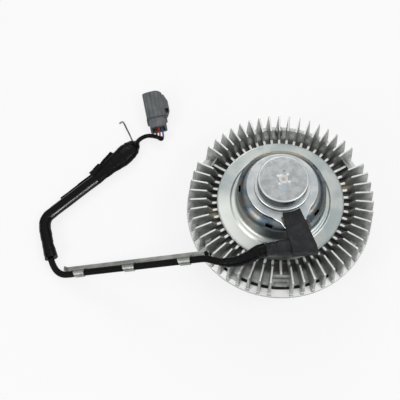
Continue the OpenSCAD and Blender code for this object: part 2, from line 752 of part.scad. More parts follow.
module main_outer_race() {
  color("silver")
    race(main_bearing_r, main_bearing_r - main_race_t, main_z, main_bearing_w, main_pitch_r, main_ball_r);
}

module main_inner_race() {
  color("silver") race(shaft_r + main_race_t, shaft_r, main_z, main_bearing_w, main_pitch_r, main_ball_r);
}

module main_bearing_seals() {
  color("black") for (z = [main_z + 0.6, main_z + main_bearing_w - 1.6])
    ring(main_bearing_r - main_race_t, shaft_r + main_race_t + 0.3, z, 1);
}

module main_balls() {
  color("white") balls(main_ball_count, main_pitch_r, main_ball_r, main_z + main_bearing_w / 2);
}

module main_ball_cage() {
  color("tan") ball_cage(main_ball_count, main_pitch_r, main_ball_r, main_z + main_bearing_w / 2);
}

module coil_outer_race() {
  color("silver")
    race(coil_bearing_r, coil_bearing_r - coil_race_t, bearing_z, coil_bearing_w, coil_pitch_r, coil_ball_r);
}

module coil_inner_race() {
  color("silver") race(spindle_r + coil_race_t, spindle_r, bearing_z, coil_bearing_w,
    coil_pitch_r, coil_ball_r);
}

module coil_bearing_seal() {
  color("black") ring(coil_bearing_r - coil_race_t, spindle_r + coil_race_t + 0.3, bearing_z + 0.5, 1);
}

module coil_balls() {
  color("white") balls(coil_ball_count, coil_pitch_r, coil_ball_r, bearing_z + coil_bearing_w / 2);
}

module coil_ball_cage() {
  color("tan") ball_cage(coil_ball_count, coil_pitch_r, coil_ball_r, bearing_z + coil_bearing_w / 2);
}

module cap() {
  color("lightgray") difference() {
    rotate_extrude() polygon([
      [0, cap_top_z], [cap_r - 1.6, cap_top_z], [cap_r - 0.5, cap_top_z - 0.5], [cap_r, cap_top_z - 1.6],
      [cap_r, cap_z], [cap_r - cap_wall, cap_z], [cap_r - cap_wall, cap_top_z - cap_roof],
      [0, cap_top_z - cap_roof]
    ]);
    translate([0, 0, cap_top_z - 0.6]) cylinder(r1 = 4.6, r2 = 5.6, h = 0.7);
  }
}

module bearing_carrier() {
  color("lightsteelblue") rotate_extrude() polygon([
    [coil_bearing_r, bearing_z], [carrier_flange_r - 2, bearing_z], [carrier_flange_r - 2, bearing_z + 1.8],
    [carrier_flange_r, bearing_z + 1.8], [carrier_flange_r, cap_z - 0.6], [carrier_flange_r - 0.6, cap_z],
    [cap_r - cap_wall, cap_z], [cap_r - cap_wall, bearing_z + coil_bearing_w],
    [coil_bearing_r, bearing_z + coil_bearing_w]
  ]);
}

module carrier_plan() {
  circle(r = plate_r, $fn = 144);
  half = block_w / 2;
  x = plate_r * 0.54;
  y = plate_r * 0.825;
  rotate(block_angle) polygon([
    [x, -y], [plate_r + 2, -half - 2.4], [block_step_u - 1, -half], [block_step_u - 1, half],
    [plate_r + 2, half + 2.4], [x, y]
  ]);
}

module carrier_plate() {
  color("lightsteelblue") translate([0, 0, plate_z]) linear_extrude(plate_t) difference() {
    carrier_plan();
    circle(r = coil_bearing_r - 1);
  }
}

module coil_shell() {
  t = coil_shell_t;
  color("slategray") rotate_extrude() polygon([
    [coil_shell_in_r, coil_z], [coil_shell_in_r + t, coil_z], [coil_shell_in_r + t, plate_z - t],
    [coil_shell_r - t, plate_z - t], [coil_shell_r - t, coil_z], [coil_shell_r, coil_z],
    [coil_shell_r, plate_z], [coil_shell_in_r, plate_z]
  ]);
}

module coil_bobbin() {
  r_in = coil_shell_in_r + coil_shell_t;
  r_out = coil_shell_r - coil_shell_t;
  color("ivory") rotate_extrude() polygon([
    [r_in, bobbin_z], [r_out, bobbin_z], [r_out, bobbin_z + bobbin_t], [r_in + bobbin_t, bobbin_z + bobbin_t],
    [r_in + bobbin_t, plate_z - coil_shell_t - bobbin_t], [r_out, plate_z - coil_shell_t - bobbin_t],
    [r_out, plate_z - coil_shell_t], [r_in, plate_z - coil_shell_t]
  ]);
}

module coil_winding() {
  r_in = coil_shell_in_r + coil_shell_t + bobbin_t;
  color("peru") ring(coil_shell_r - coil_shell_t, r_in, bobbin_z + bobbin_t,
    plate_z - coil_shell_t - 2 * bobbin_t - bobbin_z);
}

// Places children in the block's own frame, with X outwards along the block
module at_block() {
  rotate(block_angle) children();
}

module hall_sensor() {
  bottom_z = dome_top_z + magnet_h + 1.6;
  color("black") at_block() translate([coil_shell_r + 0.3, -sensor_w / 2, bottom_z])
    cube([sensor_depth, sensor_w, plate_z - bottom_z]);
}

// Outline of the lead block, cut off a little aslant at its outer end
module block_outline() {
  half = block_w / 2;
  polygon([
    [block_in_u - 4, -half + 2.2], [block_step_u, -half], [block_end - 3, -half - 0.4],
    [block_end + 2, half + block_flare], [block_step_u, half], [block_in_u - 4, half - 2.2]
  ]);
}

// Side view of the lead block, thin on the carrier plate and thick beyond it
module block_side() {
  polygon([
    [block_in_u - 4, plate_top_z], [block_step_u, plate_top_z], [block_step_u, plate_z],
    [block_step_u + 8, block_top_z - block_h], [block_end + 2, block_top_z - block_h],
    [block_end + 2, block_top_z - block_bevel], [block_end + 2 - block_bevel, block_top_z],
    [block_in_u - 4, block_top_z]
  ]);
}

module lead_block() {
  color("black") difference() {
    at_block() intersection() {
      translate([0, 0, plate_z - 20]) linear_extrude(50) block_outline();
      translate([0, 20, 0]) rotate([90, 0, 0]) linear_extrude(40) block_side();
    }
    translate([0, 0, plate_top_z - 1]) cylinder(r = block_in_u, h = 20);
    at_adapter() cylinder(r = lead_bore_r, h = adapter_len + 12);
  }
}

// Catches that snap over the edges of the carrier plate on both sides of the block
module block_clip() {
  color("black") at_block() difference() {
    union() {
      translate([43, 0, plate_top_z + 0.5]) cube([9, block_w / 2 + 2.6, 2.6]);
      translate([34, -block_w / 2 - 0.6, plate_top_z]) cube([10, block_w / 2, 3]);
    }
    translate([0, 0, plate_z]) linear_extrude(20) block_outline();
  }
}

// Places children on the adapter's axis, with Z from its free end to the block
module at_adapter() {
  translate([adapter_end_x, adapter_y, adapter_z]) rotate([0, 90, adapter_tilt]) children();
}

module conduit_adapter() {
  color("black") difference() {
    at_adapter() union() {
      cylinder(r1 = adapter_end_r, r2 = adapter_r, h = adapter_len);
      cylinder(r = adapter_end_r + 0.6, h = 2);
      translate([0, 0, 9.5]) cylinder(r = adapter_end_r + 1.2, h = 1.5);
      translate([0, 0, adapter_len - 6]) cylinder(r = adapter_r + 0.5, h = 3);
    }
    at_adapter() translate([0, 0, -1]) cylinder(r = lead_bore_r, h = adapter_len + 2);
    at_block() translate([0, 0, plate_z - 20]) linear_extrude(50) block_outline();
  }
}

module conduit_boot() {
  color("black") tube(ROUTE, 0, boot_last, [6.8, 6.8, 6.5, 5.8, 5, boot_end_r], 12);
}

module conduit() {
  color("black") tube(ROUTE, boot_last, conduit_last, same(conduit_r, conduit_last - boot_last + 1), 10);
}

module loom_sleeve() {
  color("black") tube(ROUTE, conduit_last, sleeve_last, [for (thin = SLEEVE_THIN) loom_r - thin], 12);
}

module loom_wrap() {
  color("black") tube(ROUTE, sleeve_last, wrap_last,
    [loom_r + 0.4, wrap_r - 3.4, wrap_r - 1.6, wrap_r - 0.4, wrap_r, wrap_r - 2.4, lead_r + 2], 12, wrap_flat);
}

module lead_cable() {
  color("black") tube(ROUTE, wrap_last, len(ROUTE) - 1, same(lead_r, len(ROUTE) - wrap_last), 10);
}

// Places children on the strip, with X back along it and Z square to it
module on_strip() {
  translate(strip_start) rotate([0, -slope, 0]) children();
}

module harness_strip() {
  bottom = -conduit_r - strip_t;
  color("gainsboro") on_strip() {
    translate([-strip_len, -1, bottom]) cube([strip_len, strip_w, strip_t]);
    translate([-1, button_y - 3, bottom]) cube([5.5, 6, strip_t]);
    translate([-strip_len, strip_w - 6, bottom]) cube([strip_t, 5, strip_t + 4]);
    for (s = tab_starts) translate([-s - tab_len, 0, 0]) strip_tab();
  }
}

// A tab that rises from the strip's inner edge and bends over the conduit
module strip_tab() {
  out_r = conduit_r + tab_t;
  intersection() {
    union() {
      rotate([0, 90, 0]) difference() {
        cylinder(r = out_r, h = tab_len, $fn = 48);
        translate([0, 0, -1]) cylinder(r = conduit_r, h = tab_len + 2, $fn = 48);
        translate([0, -20, -1]) cube([20, 20, tab_len + 2]);
      }
      translate([0, conduit_r, -conduit_r - 0.1]) cube([tab_len, tab_t, conduit_r + 0.1]);
    }
    translate([0, 0, -20]) linear_extrude(40) polygon([
      [0, out_r + 1], [tab_len, out_r + 1], [tab_len, -out_r - 1], [tab_slant, -out_r - 1]
    ]);
  }
}

module strip_button() {
  color("black") on_strip() translate([1.9, button_y, -conduit_r]) {
    cylinder(r = button_r, h = 2.4, $fn = 32);
    cylinder(r = 1.5, h = 3.4, $fn = 32);
  }
}

module plug_wires() {
  color("firebrick") for (w = WIRES) tube(w, 0, len(w) - 1, same(wire_r, len(w)), 8);
}

module hook_wire() {
  color("gray") tube(HOOK, 0, len(HOOK) - 1, same(hook_r, len(HOOK)), 8);
}

// Places children in the plug's own frame, with Y towards its nose
module at_plug() {
  translate(plug_at) rotate(plug_turn) children();
}

// A bar of round-cornered section along the plug, from y0 for a length
module plug_bar(w, h, r, y0, length) {
  translate([0, y0 + length, plug_h / 2]) rotate([90, 0, 0]) linear_extrude(length) round_rect(w, h, r);
}

module plug_shell() {
  body_len = plug_len - plug_cover_len;
  color("slategray") at_plug() {
    difference() {
      plug_bar(plug_w, plug_h, plug_corner_r, plug_cover_len, body_len);
      plug_bar(plug_w - 2 * plug_wall, plug_h - 2 * plug_wall, plug_corner_r - 1, mouth_y, plug_mouth + 1);
    }
    for (x = [-7.5, -2.5, 2.5, 7.5])
      translate([x - 0.5, plug_cover_len + 2, plug_h - 0.5]) cube([1, body_len - 4, 1]);
  }
}

module plug_latch() {
  color("slategray") at_plug() difference() {
    translate([0, 0, plug_h / 2 - 4]) linear_extrude(8) polygon([
      [plug_w / 2, latch_y], [plug_w / 2 + 1.6, latch_y], [plug_w / 2 + latch_reach, latch_y + 8],
      [plug_w / 2 + latch_reach, latch_y + 19], [plug_w / 2 + 2, latch_y + 29], [plug_w / 2, latch_y + 30]
    ]);
    translate([plug_w / 2 + 0.8, latch_y + 9, plug_h / 2 + 1]) cube([2.2, 5, 4]);
  }
}

module plug_rear_cover() {
  color("slategray") at_plug() difference() {
    union() {
      plug_bar(plug_w - 3.5, plug_h - 1, plug_corner_r, 0, plug_cover_len);
      plug_bar(plug_w + 1, plug_h, plug_corner_r, plug_cover_len - 1.6, 1.6);
    }
    plug_bar(plug_w - 8, plug_h - 6, plug_corner_r - 1, -1, 5);
  }
}

module plug_insert() {
  color("dimgray") at_plug() difference() {
    plug_bar(core_w, core_h, plug_corner_r / 2, mouth_y, plug_mouth - 2.5);
    for (x = [-6, -3, 0, 3, 6])
      translate([x, plug_len + 2, plug_h / 2]) rotate([90, 0, 0]) cylinder(r = 0.9, h = 12, $fn = 24);
  }
}

module plug_seal() {
  color("orangered") at_plug() difference() {
    plug_bar(core_w + 2 * plug_seal_t, core_h + 2 * plug_seal_t, plug_corner_r * 0.6,
      mouth_y + 2, plug_seal_len);
    plug_bar(core_w, core_h, plug_corner_r / 2, mouth_y + 1, plug_seal_len + 2);
  }
}

front_cover();
rear_body();
cover_screws();
cover_seal();
reservoir_plate();
flux_rings();
shield();
spindle();
spindle_ring();
sensor_magnet();
valve_armature();
valve_spring();
input_shaft();
rotor();
rotor_nut();
bearing_circlip();
main_outer_race();
main_inner_race();
main_bearing_seals();
main_balls();
main_ball_cage();
coil_outer_race();
coil_inner_race();
coil_bearing_seal();
coil_balls();
coil_ball_cage();
cap();
bearing_carrier();
carrier_plate();
coil_shell();
coil_bobbin();
coil_winding();
hall_sensor();
lead_block();
block_clip();
conduit_adapter();
conduit_boot();
conduit();
harness_strip();
strip_button();
loom_sleeve();
loom_wrap();
lead_cable();
plug_wires();
hook_wire();
plug_shell();
plug_latch();
plug_rear_cover();
plug_insert();
plug_seal();
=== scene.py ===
import math

import bmesh
import bpy
from mathutils import Matrix, Vector, noise


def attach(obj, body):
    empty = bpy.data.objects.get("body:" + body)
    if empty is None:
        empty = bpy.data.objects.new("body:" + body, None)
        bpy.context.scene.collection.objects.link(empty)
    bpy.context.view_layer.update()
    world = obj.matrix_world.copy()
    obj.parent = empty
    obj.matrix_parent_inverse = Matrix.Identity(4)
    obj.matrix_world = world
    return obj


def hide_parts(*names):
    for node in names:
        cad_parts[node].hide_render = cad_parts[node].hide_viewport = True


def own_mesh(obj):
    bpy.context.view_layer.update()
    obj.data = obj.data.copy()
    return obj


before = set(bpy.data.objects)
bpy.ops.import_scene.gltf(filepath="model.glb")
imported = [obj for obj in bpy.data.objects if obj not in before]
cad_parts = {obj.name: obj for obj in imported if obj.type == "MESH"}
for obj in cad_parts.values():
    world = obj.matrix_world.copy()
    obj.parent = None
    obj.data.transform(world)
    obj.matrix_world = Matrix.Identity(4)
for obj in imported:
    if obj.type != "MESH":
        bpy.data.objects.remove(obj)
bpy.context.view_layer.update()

MM = 0.001

# Sizes and places of the clutch, in millimetres and degrees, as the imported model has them
FLANGE_Z = 31.0
FLANGE_R = 102.2
FLANGE_T = 4.0
JOINT_R = 92.5
COVER_LOW_Z = 41.5
FIN_PLACES = 54
FIN_TOP_Z = 68.0
FIN_TIP_R = 98.0
FIN_FOOT_R = FLANGE_R - 0.6
FIN_TOP_T = 1.7
FIN_BASE_T = 4.2
RIB_TOP_Z = 55.9
SEAT_Z = 56.2
SHIELD_TOP_Z = 89.7
CAP_Z = 97.7
CAP_TOP_Z = 110.7
ADAPTER_AT = (-17.0, -67.5, 87.2)
ADAPTER_TILT = 8.0
PLUG_AT = (-142.5, 112.0, 0.0)
PLUG_TURN = 13.5
SCREW_R = 89.0

# The staked spots on the cap, the spacing of the conduit's rings and of the tape's laps, and where
# round the loom the tape's free edge stands up
STAKE_ANGLES = (48, 150, 238, 330)
STAKE_R = 6.6
RING_PITCH = 2.4
LAP_PITCH = 9.5
FLAP_TURN = math.pi * 0.97

# The harness from the adapter on the lead block to the plug, in millimetres, with the number of the
# last point of each stretch; then the wires, the knot of tape and the hook of wire
ROUTE = [
    (-17, -67.5, 87), (-24, -69.5, 86.6), (-32, -74, 85), (-42, -78, 82.5), (-52, -79.5, 80),
    (-62, -78.5, 77.5), (-72, -75.5, 75.3), (-80, -73.5, 72.3), (-100, -73.5, 64), (-124, -73.5, 54),
    (-148, -73.5, 44), (-172, -73.5, 34), (-196, -73.5, 24), (-220, -73.5, 14), (-238, -73.5, 6.5),
    (-247, -70, 4.4), (-253, -63, 4.4), (-256.5, -55, 7.4),
    (-260.5, -42, 7.4), (-264.5, -29, 7.4), (-268, -16, 7.4), (-267, -6, 7.4), (-260, 2, 7.4),
    (-242, 18.5, 7.4), (-224, 35, 7.4), (-214, 44, 7.4),
    (-206, 52.5, 7.4), (-196, 63.5, 8), (-186, 73, 7.8), (-178, 82, 8), (-172, 91, 6.6),
    (-169, 96, 4.4), (-166.5, 100, 4), (-162, 103.5, 4), (-156.5, 105, 5), (-150, 103.8, 7),
    (-144.5, 101.5, 9),
]
BOOT_LAST, CONDUIT_LAST, SLEEVE_LAST, WRAP_LAST = 5, 17, 25, 31
WIRES = {
    "brown": [
        (-144.5, 101.5, 9), (-144.4, 103.6, 9.2), (-145, 106.5, 9.3), (-146.1, 110.1, 9), (-147.3, 115, 9)],
    "red": [
        (-144.5, 101.5, 9), (-142.2, 101.2, 9.2), (-140.8, 104, 9.4), (-142.2, 111, 9), (-143.4, 115.9, 9)],
    "blue": [
        (-144.5, 101.5, 9), (-140, 98.8, 9.2), (-136.6, 101, 9.4), (-138.3, 111.9, 9), (-139.5, 116.8, 9)],
}
KNOT = [(-147, 102.4, 8.4), (-143.5, 101, 9), (-140.2, 99.6, 9), (-136, 98.8, 9)]
HOOK = [
    (-173, 95, 5), (-175.5, 99.5, 6), (-178.5, 106, 5.5), (-183, 115, 3.5), (-187.5, 124, 2),
    (-190, 126, 2), (-193, 123.5, 2),
]


def placed(name, data):
    """An object in the scene for a mesh, a lamp or the camera."""
    made = bpy.data.objects.new(name, data)
    bpy.context.collection.objects.link(made)
    return made


def studio_camera():
    """The camera at the photograph's place, looking down on the clutch and rolled a little."""
    turn, tilt, roll = math.radians(7.7), math.radians(66.6), math.radians(-6.3)
    right = Vector((math.cos(turn), math.sin(turn), 0))
    back = Vector((math.sin(turn) * math.cos(tilt), -math.cos(turn) * math.cos(tilt), math.sin(tilt)))
    up = back.cross(right)
    right, up = right * math.cos(roll) + up * math.sin(roll), up * math.cos(roll) - right * math.sin(roll)
    camera = placed("studio_camera", bpy.data.cameras.new("studio_camera"))
    camera.data.lens, camera.data.sensor_width = 61.2, 36
    camera.data.clip_start, camera.data.clip_end = 0.05, 20
    facing = Matrix((right, up, back)).transposed().to_4x4()
    camera.matrix_world = Matrix.Translation(Vector((-47.2, -292.1, 734.3)) * MM) @ facing
    bpy.context.scene.camera = camera


studio_camera()


# Shader maths, written as plain arithmetic on sockets

class Amount:
    """One number or colour of a finish. Arithmetic on it adds the Math nodes."""

    def __init__(self, board, socket):
        self.board, self.socket = board, socket

    def _math(self, operation, first, second):
        return self.board.node("ShaderNodeMath", {"operation": operation}, {0: first, 1: second})

    def __add__(self, other):
        return self._math("ADD", self, other)

    def __radd__(self, other):
        return self._math("ADD", other, self)

    def __sub__(self, other):
        return self._math("SUBTRACT", self, other)

    def __rsub__(self, other):
        return self._math("SUBTRACT", other, self)

    def __mul__(self, other):
        return self._math("MULTIPLY", self, other)

    def __truediv__(self, other):
        return self._math("DIVIDE", self, other)

    def wave(self):
        return self._math("SINE", self, 0)

    def fraction(self):
        return self._math("FRACT", self, 0)

    def ramp(self, low, high):
        """0 below low, 1 above high and a soft step between them."""
        return self.board.node("ShaderNodeMapRange", {"interpolation_type": "SMOOTHSTEP"}, {
            "Value": self, "From Min": low, "From Max": high})


class Board:
    """A node tree on which a finish is drawn up."""

    def __init__(self, tree):
        self.tree = tree
        tree.nodes.clear()

    def node(self, kind, settings=None, sockets=None, out=0):
        """Adds a node, sets it up, feeds its sockets and gives one of its outputs. The setting
        called stops holds the places and colours of a colour ramp."""
        made = self.tree.nodes.new(kind)
        for name, value in (settings or {}).items():
            if name == "stops":
                ramp = made.color_ramp
                while len(ramp.elements) < len(value):
                    ramp.elements.new(0.5)
                for stop, (place, colour) in zip(ramp.elements, value):
                    stop.position, stop.color = place, (*colour, 1)
            else:
                setattr(made, name, value)
        for name, value in (sockets or {}).items():
            if isinstance(value, Amount):
                self.tree.links.new(value.socket, made.inputs[name])
            else:
                made.inputs[name].default_value = value
        return Amount(self, made.outputs[out]) if len(made.outputs) else None

    def place(self, out="Object"):
        """Where a point is on the piece: its place in metres, or its UV map."""
        return self.node("ShaderNodeTexCoord", out=out)

    def part(self, vector, axis):
        """One of the three numbers of a vector: 0 for x, 1 for y and 2 for z."""
        return self.node("ShaderNodeSeparateXYZ", None, {0: vector}, out=axis)

    def height(self):
        """How high a point is, in metres."""
        return self.part(self.place(), 2)

    def upward(self):
        """How far the surface faces up: 1 on a level top and 0 on an upright side."""
        return self.part(self.node("ShaderNodeNewGeometry", out="Normal"), 2)

    def grain(self, size, detail=3.0, rough=0.55, place=None, stretch=None):
        """Noise with spots of about that size in millimetres, from 0 to 1."""
        place = place or self.place()
        if stretch:
            place = self.node("ShaderNodeMapping", None, {"Vector": place, "Scale": stretch})
        return self.node("ShaderNodeTexNoise", None, {
            "Vector": place, "Scale": 1 / (size * MM), "Detail": detail, "Roughness": rough})

    def blend(self, share, first, second):
        """A colour between two others."""
        return self.node("ShaderNodeMix", {"data_type": "RGBA"}, {
            0: share, 6: first if isinstance(first, Amount) else (*first, 1),
            7: second if isinstance(second, Amount) else (*second, 1)}, out=2)

    def bump(self, height, strength, depth):
        """A normal from heights; depth is how deep a height of 1 is, in millimetres."""
        return self.node("ShaderNodeBump", None, {
            "Height": height, "Strength": strength, "Distance": depth * MM})

    def near(self, x, y, radius, soft):
        """1 within a radius of an upright line at x and y, in millimetres, and 0 past a soft edge."""
        place = self.place()
        across, deep = self.part(place, 0) - x * MM, self.part(place, 1) - y * MM
        far = self.node("ShaderNodeMath", {"operation": "SQRT"}, {0: across * across + deep * deep})
        return 1 - far.ramp(radius * MM, (radius + soft) * MM)


def finish(name, draw, **constants):
    """A material whose surface is drawn by a function that returns what varies over it."""
    material = bpy.data.materials.new(name)
    material.use_nodes = True
    board = Board(material.node_tree)
    varying = draw(board)
    surface = board.node("ShaderNodeBsdfPrincipled", None, {
        **{key.replace("_", " "): value for key, value in constants.items()}, **varying})
    board.node("ShaderNodeOutputMaterial", None, {"Surface": surface})
    return material


def cast_aluminium(board):
    """Sand-dull castings with a mottled skin; the up-facing fin tops and flange carry painted light, the low
    floor between the ribs painted shade, and the outer fin ends painted highlight streaks.
    """
    mottle = board.grain(7, 4)
    streak = board.grain(4, 3, stretch=(1, 1, 0.35))
    skin = board.grain(0.9, 5, 0.65)
    pits = board.grain(2.6, 2)
    # Heights in metres: the fins end at 0.068, the ribs at 0.0559, and the flange lies below 0.041
    height, up = board.height(), board.upward()
    # Painted highlight: the up-facing fin tops and rib tops are painted bright for the light falling on
    # them.
    rib_tops = height.ramp(0.0553, 0.0557) * (1 - height.ramp(0.0561, 0.0566))
    lit_tops = (height.ramp(0.0672, 0.0678) + rib_tops) * up.ramp(0.55, 0.9)
    # Painted light: up-facing faces low on the castings, the flange's among them, are painted near white for
    # the light falling on them.
    flange = (1 - height.ramp(0.0405, 0.0412)) * up.ramp(0.3, 0.6)
    cast = board.blend(mottle.ramp(0.35, 0.68), (0.31, 0.32, 0.305), (0.46, 0.47, 0.45))
    cast = board.blend(streak.ramp(0.52, 0.75) * 0.35, cast, (0.60, 0.61, 0.59))
    cast = board.blend(skin.ramp(0.55, 0.8) * 0.3, cast, (0.17, 0.175, 0.17))
    front = height.ramp(0.0405, 0.042)
    # Painted shade: the low floor between the ribs, inside 77 mm and below the rib tops, is painted near
    # black.
    painted_shade_low = board.near(0, 0, 77, 7) * (1 - height.ramp(0.0485, 0.0556)) * front
    # Painted highlight: lighter streaks toward the outer ends of the fins, past 84 mm.
    outer = 1 - board.near(0, 0, 84, 12)
    cast = board.blend(outer * streak.ramp(0.4, 0.6) * 0.4, cast, (0.66, 0.67, 0.65))
    cast = board.blend(painted_shade_low * 0.85, cast, (0.05, 0.05, 0.047))
    cast = board.blend(flange * 0.95, cast, (0.89, 0.895, 0.885))
    groove = board.near(0, 0, 94.6, 0.2) * (1 - board.near(0, 0, 91.7, 0.2))
    groove = groove * height.ramp(0.0355, 0.036) * (1 - height.ramp(0.0396, 0.04))
    cast = board.blend(groove * 0.95, cast, (0.012, 0.012, 0.011))
    stain = board.near(-71, -17, 5, 3) + board.near(71, 17, 5, 3)
    cast = board.blend(stain * front * 0.4, cast, (0.50, 0.42, 0.31))
    return {
        "Base Color": board.blend(lit_tops * 0.75, cast, (0.68, 0.69, 0.68)),
        "Metallic": (0.8 + mottle * 0.15) * (1 - flange * 0.45),
        "Roughness": 0.4 + skin * 0.22 - lit_tops * 0.1,
        "Normal": board.bump(skin * 0.6 + pits * 0.4, 0.5, 0.4),
    }


def bright_zinc(board):
    """Plated sheet with a clear shine; its raised part is dark blue to brown, with straw at the back, partly
    the plating's own tint and partly painted reflection; the rim has a painted highlight at the front left
    and a painted shadow under the lead block.
    """
    cloud = board.grain(24, 3)
    drift = board.grain(30, 3, stretch=(1, 1.6, 0.7))
    fine = board.grain(1.3, 4)
    streak = board.grain(2.2, 3, stretch=(1, 1, 0.12))
    raised = board.height().ramp(0.0605, 0.064)
    rim = board.blend(cloud.ramp(0.36, 0.64), (0.34, 0.385, 0.385), (0.45, 0.475, 0.455))
    # Painted highlight: a pale patch on the rim at the front left.
    rim = board.blend(board.near(-52, -30, 20, 28) * 0.7, rim, (0.80, 0.82, 0.775))
    # Painted shadow: a dark patch on the rim under the lead block.
    rim = board.blend(board.near(-8, -66, 12, 9) * 0.75, rim, (0.10, 0.105, 0.095))
    # The raised part's dark blue to brown and the straw at the back are partly the plating's own tint and
    # partly painted reflection of dark surroundings.
    tint_and_painted_reflection = board.node("ShaderNodeValToRGB", {"stops": [
        (0.34, (0.08, 0.11, 0.14)), (0.45, (0.16, 0.185, 0.195)), (0.55, (0.18, 0.17, 0.155)),
        (0.68, (0.14, 0.11, 0.10))]}, {"Fac": drift})
    tint_and_painted_reflection = board.blend(board.near(0, 52, 16, 24), tint_and_painted_reflection, (0.42, 0.385, 0.30))
    sheet = board.blend(raised, rim, tint_and_painted_reflection)
    return {
        "Base Color": board.blend(streak.ramp(0.55, 0.8) * 0.2, sheet, (0.66, 0.67, 0.66)),
        "Metallic": 1.0 - fine * 0.03,
        "Roughness": 0.25 + fine * 0.1 + cloud * 0.08 + (1 - raised) * 0.05,
        "Normal": board.bump(cloud * 0.7 + fine * 0.08, 0.3, 0.25),
    }


def plate_zinc(board):
    """The carrier's plated steel, paler and duller than the shield, with painted highlights on its sloping
    edges and small scuffs.
    """
    cloud = board.grain(16, 3)
    fine = board.grain(1.0, 4)
    scuff = board.grain(3, 2, stretch=(1, 0.3, 1))
    up = board.upward()
    # Painted highlight: the sloping edge faces are painted near white.
    edge = up.ramp(0.12, 0.4) * (1 - up.ramp(0.8, 0.97))
    pale = board.blend(cloud.ramp(0.36, 0.66), (0.43, 0.47, 0.49), (0.56, 0.585, 0.58))
    pale = board.blend(edge * 0.85, pale, (0.97, 0.98, 0.98))
    return {
        "Base Color": board.blend(scuff.ramp(0.62, 0.8) * 0.4, pale, (0.30, 0.32, 0.33)),
        "Metallic": 1.0 - fine * 0.04,
        "Roughness": 0.24 + fine * 0.14,
        "Normal": board.bump(fine * 0.3 + cloud * 0.7, 0.25, 0.3),
    }


def drawn_cap(board):
    """The cap's pressed skin, light grey and finely speckled, with its tan centre, a small hole beside
    it painted dark as shade, staked spots painted pale as glints, a painted highlight on its rounded
    edge, painted shade on its upright side, and a dab of blue."""
    speck = board.grain(0.75, 4, 0.7)
    cloud = board.grain(7, 3)
    skin = board.blend(cloud.ramp(0.35, 0.65), (0.33, 0.35, 0.355), (0.44, 0.455, 0.46))
    skin = board.blend(speck.ramp(0.5, 0.72) * 0.65, skin, (0.15, 0.16, 0.17))
    skin = board.blend(board.near(0, 0, 4.2, 1.5) * 0.55, skin, (0.66, 0.68, 0.68))
    skin = board.blend(board.near(0.7, -10.8, 1.6, 3.2) * 0.35, skin, (0.38, 0.55, 0.64))
    # Painted glints: the staked spots are painted pale.
    for angle in STAKE_ANGLES:
        turn = math.radians(angle)
        spot = board.near(STAKE_R * math.cos(turn), STAKE_R * math.sin(turn), 0.9, 1.2)
        skin = board.blend(spot * 0.65, skin, (0.80, 0.81, 0.81))
    # Painted shade: a small hole beside the centre is painted near black, not cut.
    skin = board.blend(board.near(0.8, 8.6, 0.5, 0.7) * 0.85, skin, (0.05, 0.05, 0.05))
    up = board.upward()
    # Painted highlight: the rounded edge of the top is painted pale.
    edge = (1 - board.near(0, 0, 23.6, 1.2)) * up.ramp(0.3, 0.6)
    skin = board.blend(edge * 0.6, skin, (0.74, 0.76, 0.76))
    # Painted shade: the upright side is painted near black.
    skin = board.blend((1 - up.ramp(0.1, 0.45)) * 0.85, skin, (0.05, 0.058, 0.062))
    centre = board.near(0.2, -0.3, 1.4, 1.6) * cloud.ramp(0.2, 0.5)
    return {
        "Base Color": board.blend(centre * 0.7, skin, (0.40, 0.30, 0.22)),
        "Metallic": 0.95 - centre * 0.2,
        "Roughness": 0.3 + speck * 0.2,
        "Normal": board.bump(speck * 0.5 + cloud * 0.5, 0.3, 0.25),
    }


def metal(colour, spots, dull, grain=1.2, marks=0.18, deep=0.12):
    """A plain metal with fine grain and patches of a second shade."""
    def draw(board):
        fine = board.grain(grain, 4)
        patch = board.grain(grain * 8, 3)
        return {
            "Base Color": board.blend(patch.ramp(0.38, 0.68), colour, spots),
            "Metallic": 1.0 - fine * 0.06,
            "Roughness": dull + fine * marks,
            "Normal": board.bump(fine, 0.35, deep),
        }
    return draw


def plastic(colour, worn, dull, grain=0.8):
    """A moulded plastic or rubber with a fine grain and a lighter handled shade."""
    def draw(board):
        fine = board.grain(grain, 4, 0.6)
        patch = board.grain(grain * 14, 3)
        return {
            "Base Color": board.blend(patch.ramp(0.42, 0.75) * 0.7 + fine * 0.15, colour, worn),
            "Roughness": dull + fine * 0.22,
            "Normal": board.bump(fine * 0.7 + patch * 0.3, 0.4, 0.1),
        }
    return draw


def plug_plastic(board):
    """The plug's grey plastic, with the dark joint between its body and its rear cover."""
    turn = math.radians(-PLUG_TURN)
    at = Matrix.Rotation(turn, 3, "Z") @ Vector(PLUG_AT) * -MM
    local = board.node("ShaderNodeMapping", None, {
        "Vector": board.place(), "Location": tuple(at), "Rotation": (0, 0, turn)})
    along = board.part(local, 1)
    joint = along.ramp(0.0116, 0.0122) * (1 - along.ramp(0.0132, 0.014))
    streak = board.grain(1.6, 3, place=local, stretch=(1, 0.12, 1))
    drawn = plastic((0.082, 0.091, 0.096), (0.14, 0.15, 0.156), 0.42, 0.7)(board)
    grey = board.blend(streak.ramp(0.45, 0.7) * 0.45, drawn["Base Color"], (0.19, 0.205, 0.21))
    grey = board.blend((1 - streak.ramp(0.3, 0.5)) * 0.35, grey, (0.045, 0.052, 0.055))
    return {**drawn, "Base Color": board.blend(joint * 0.95, grey, (0.006, 0.008, 0.009))}


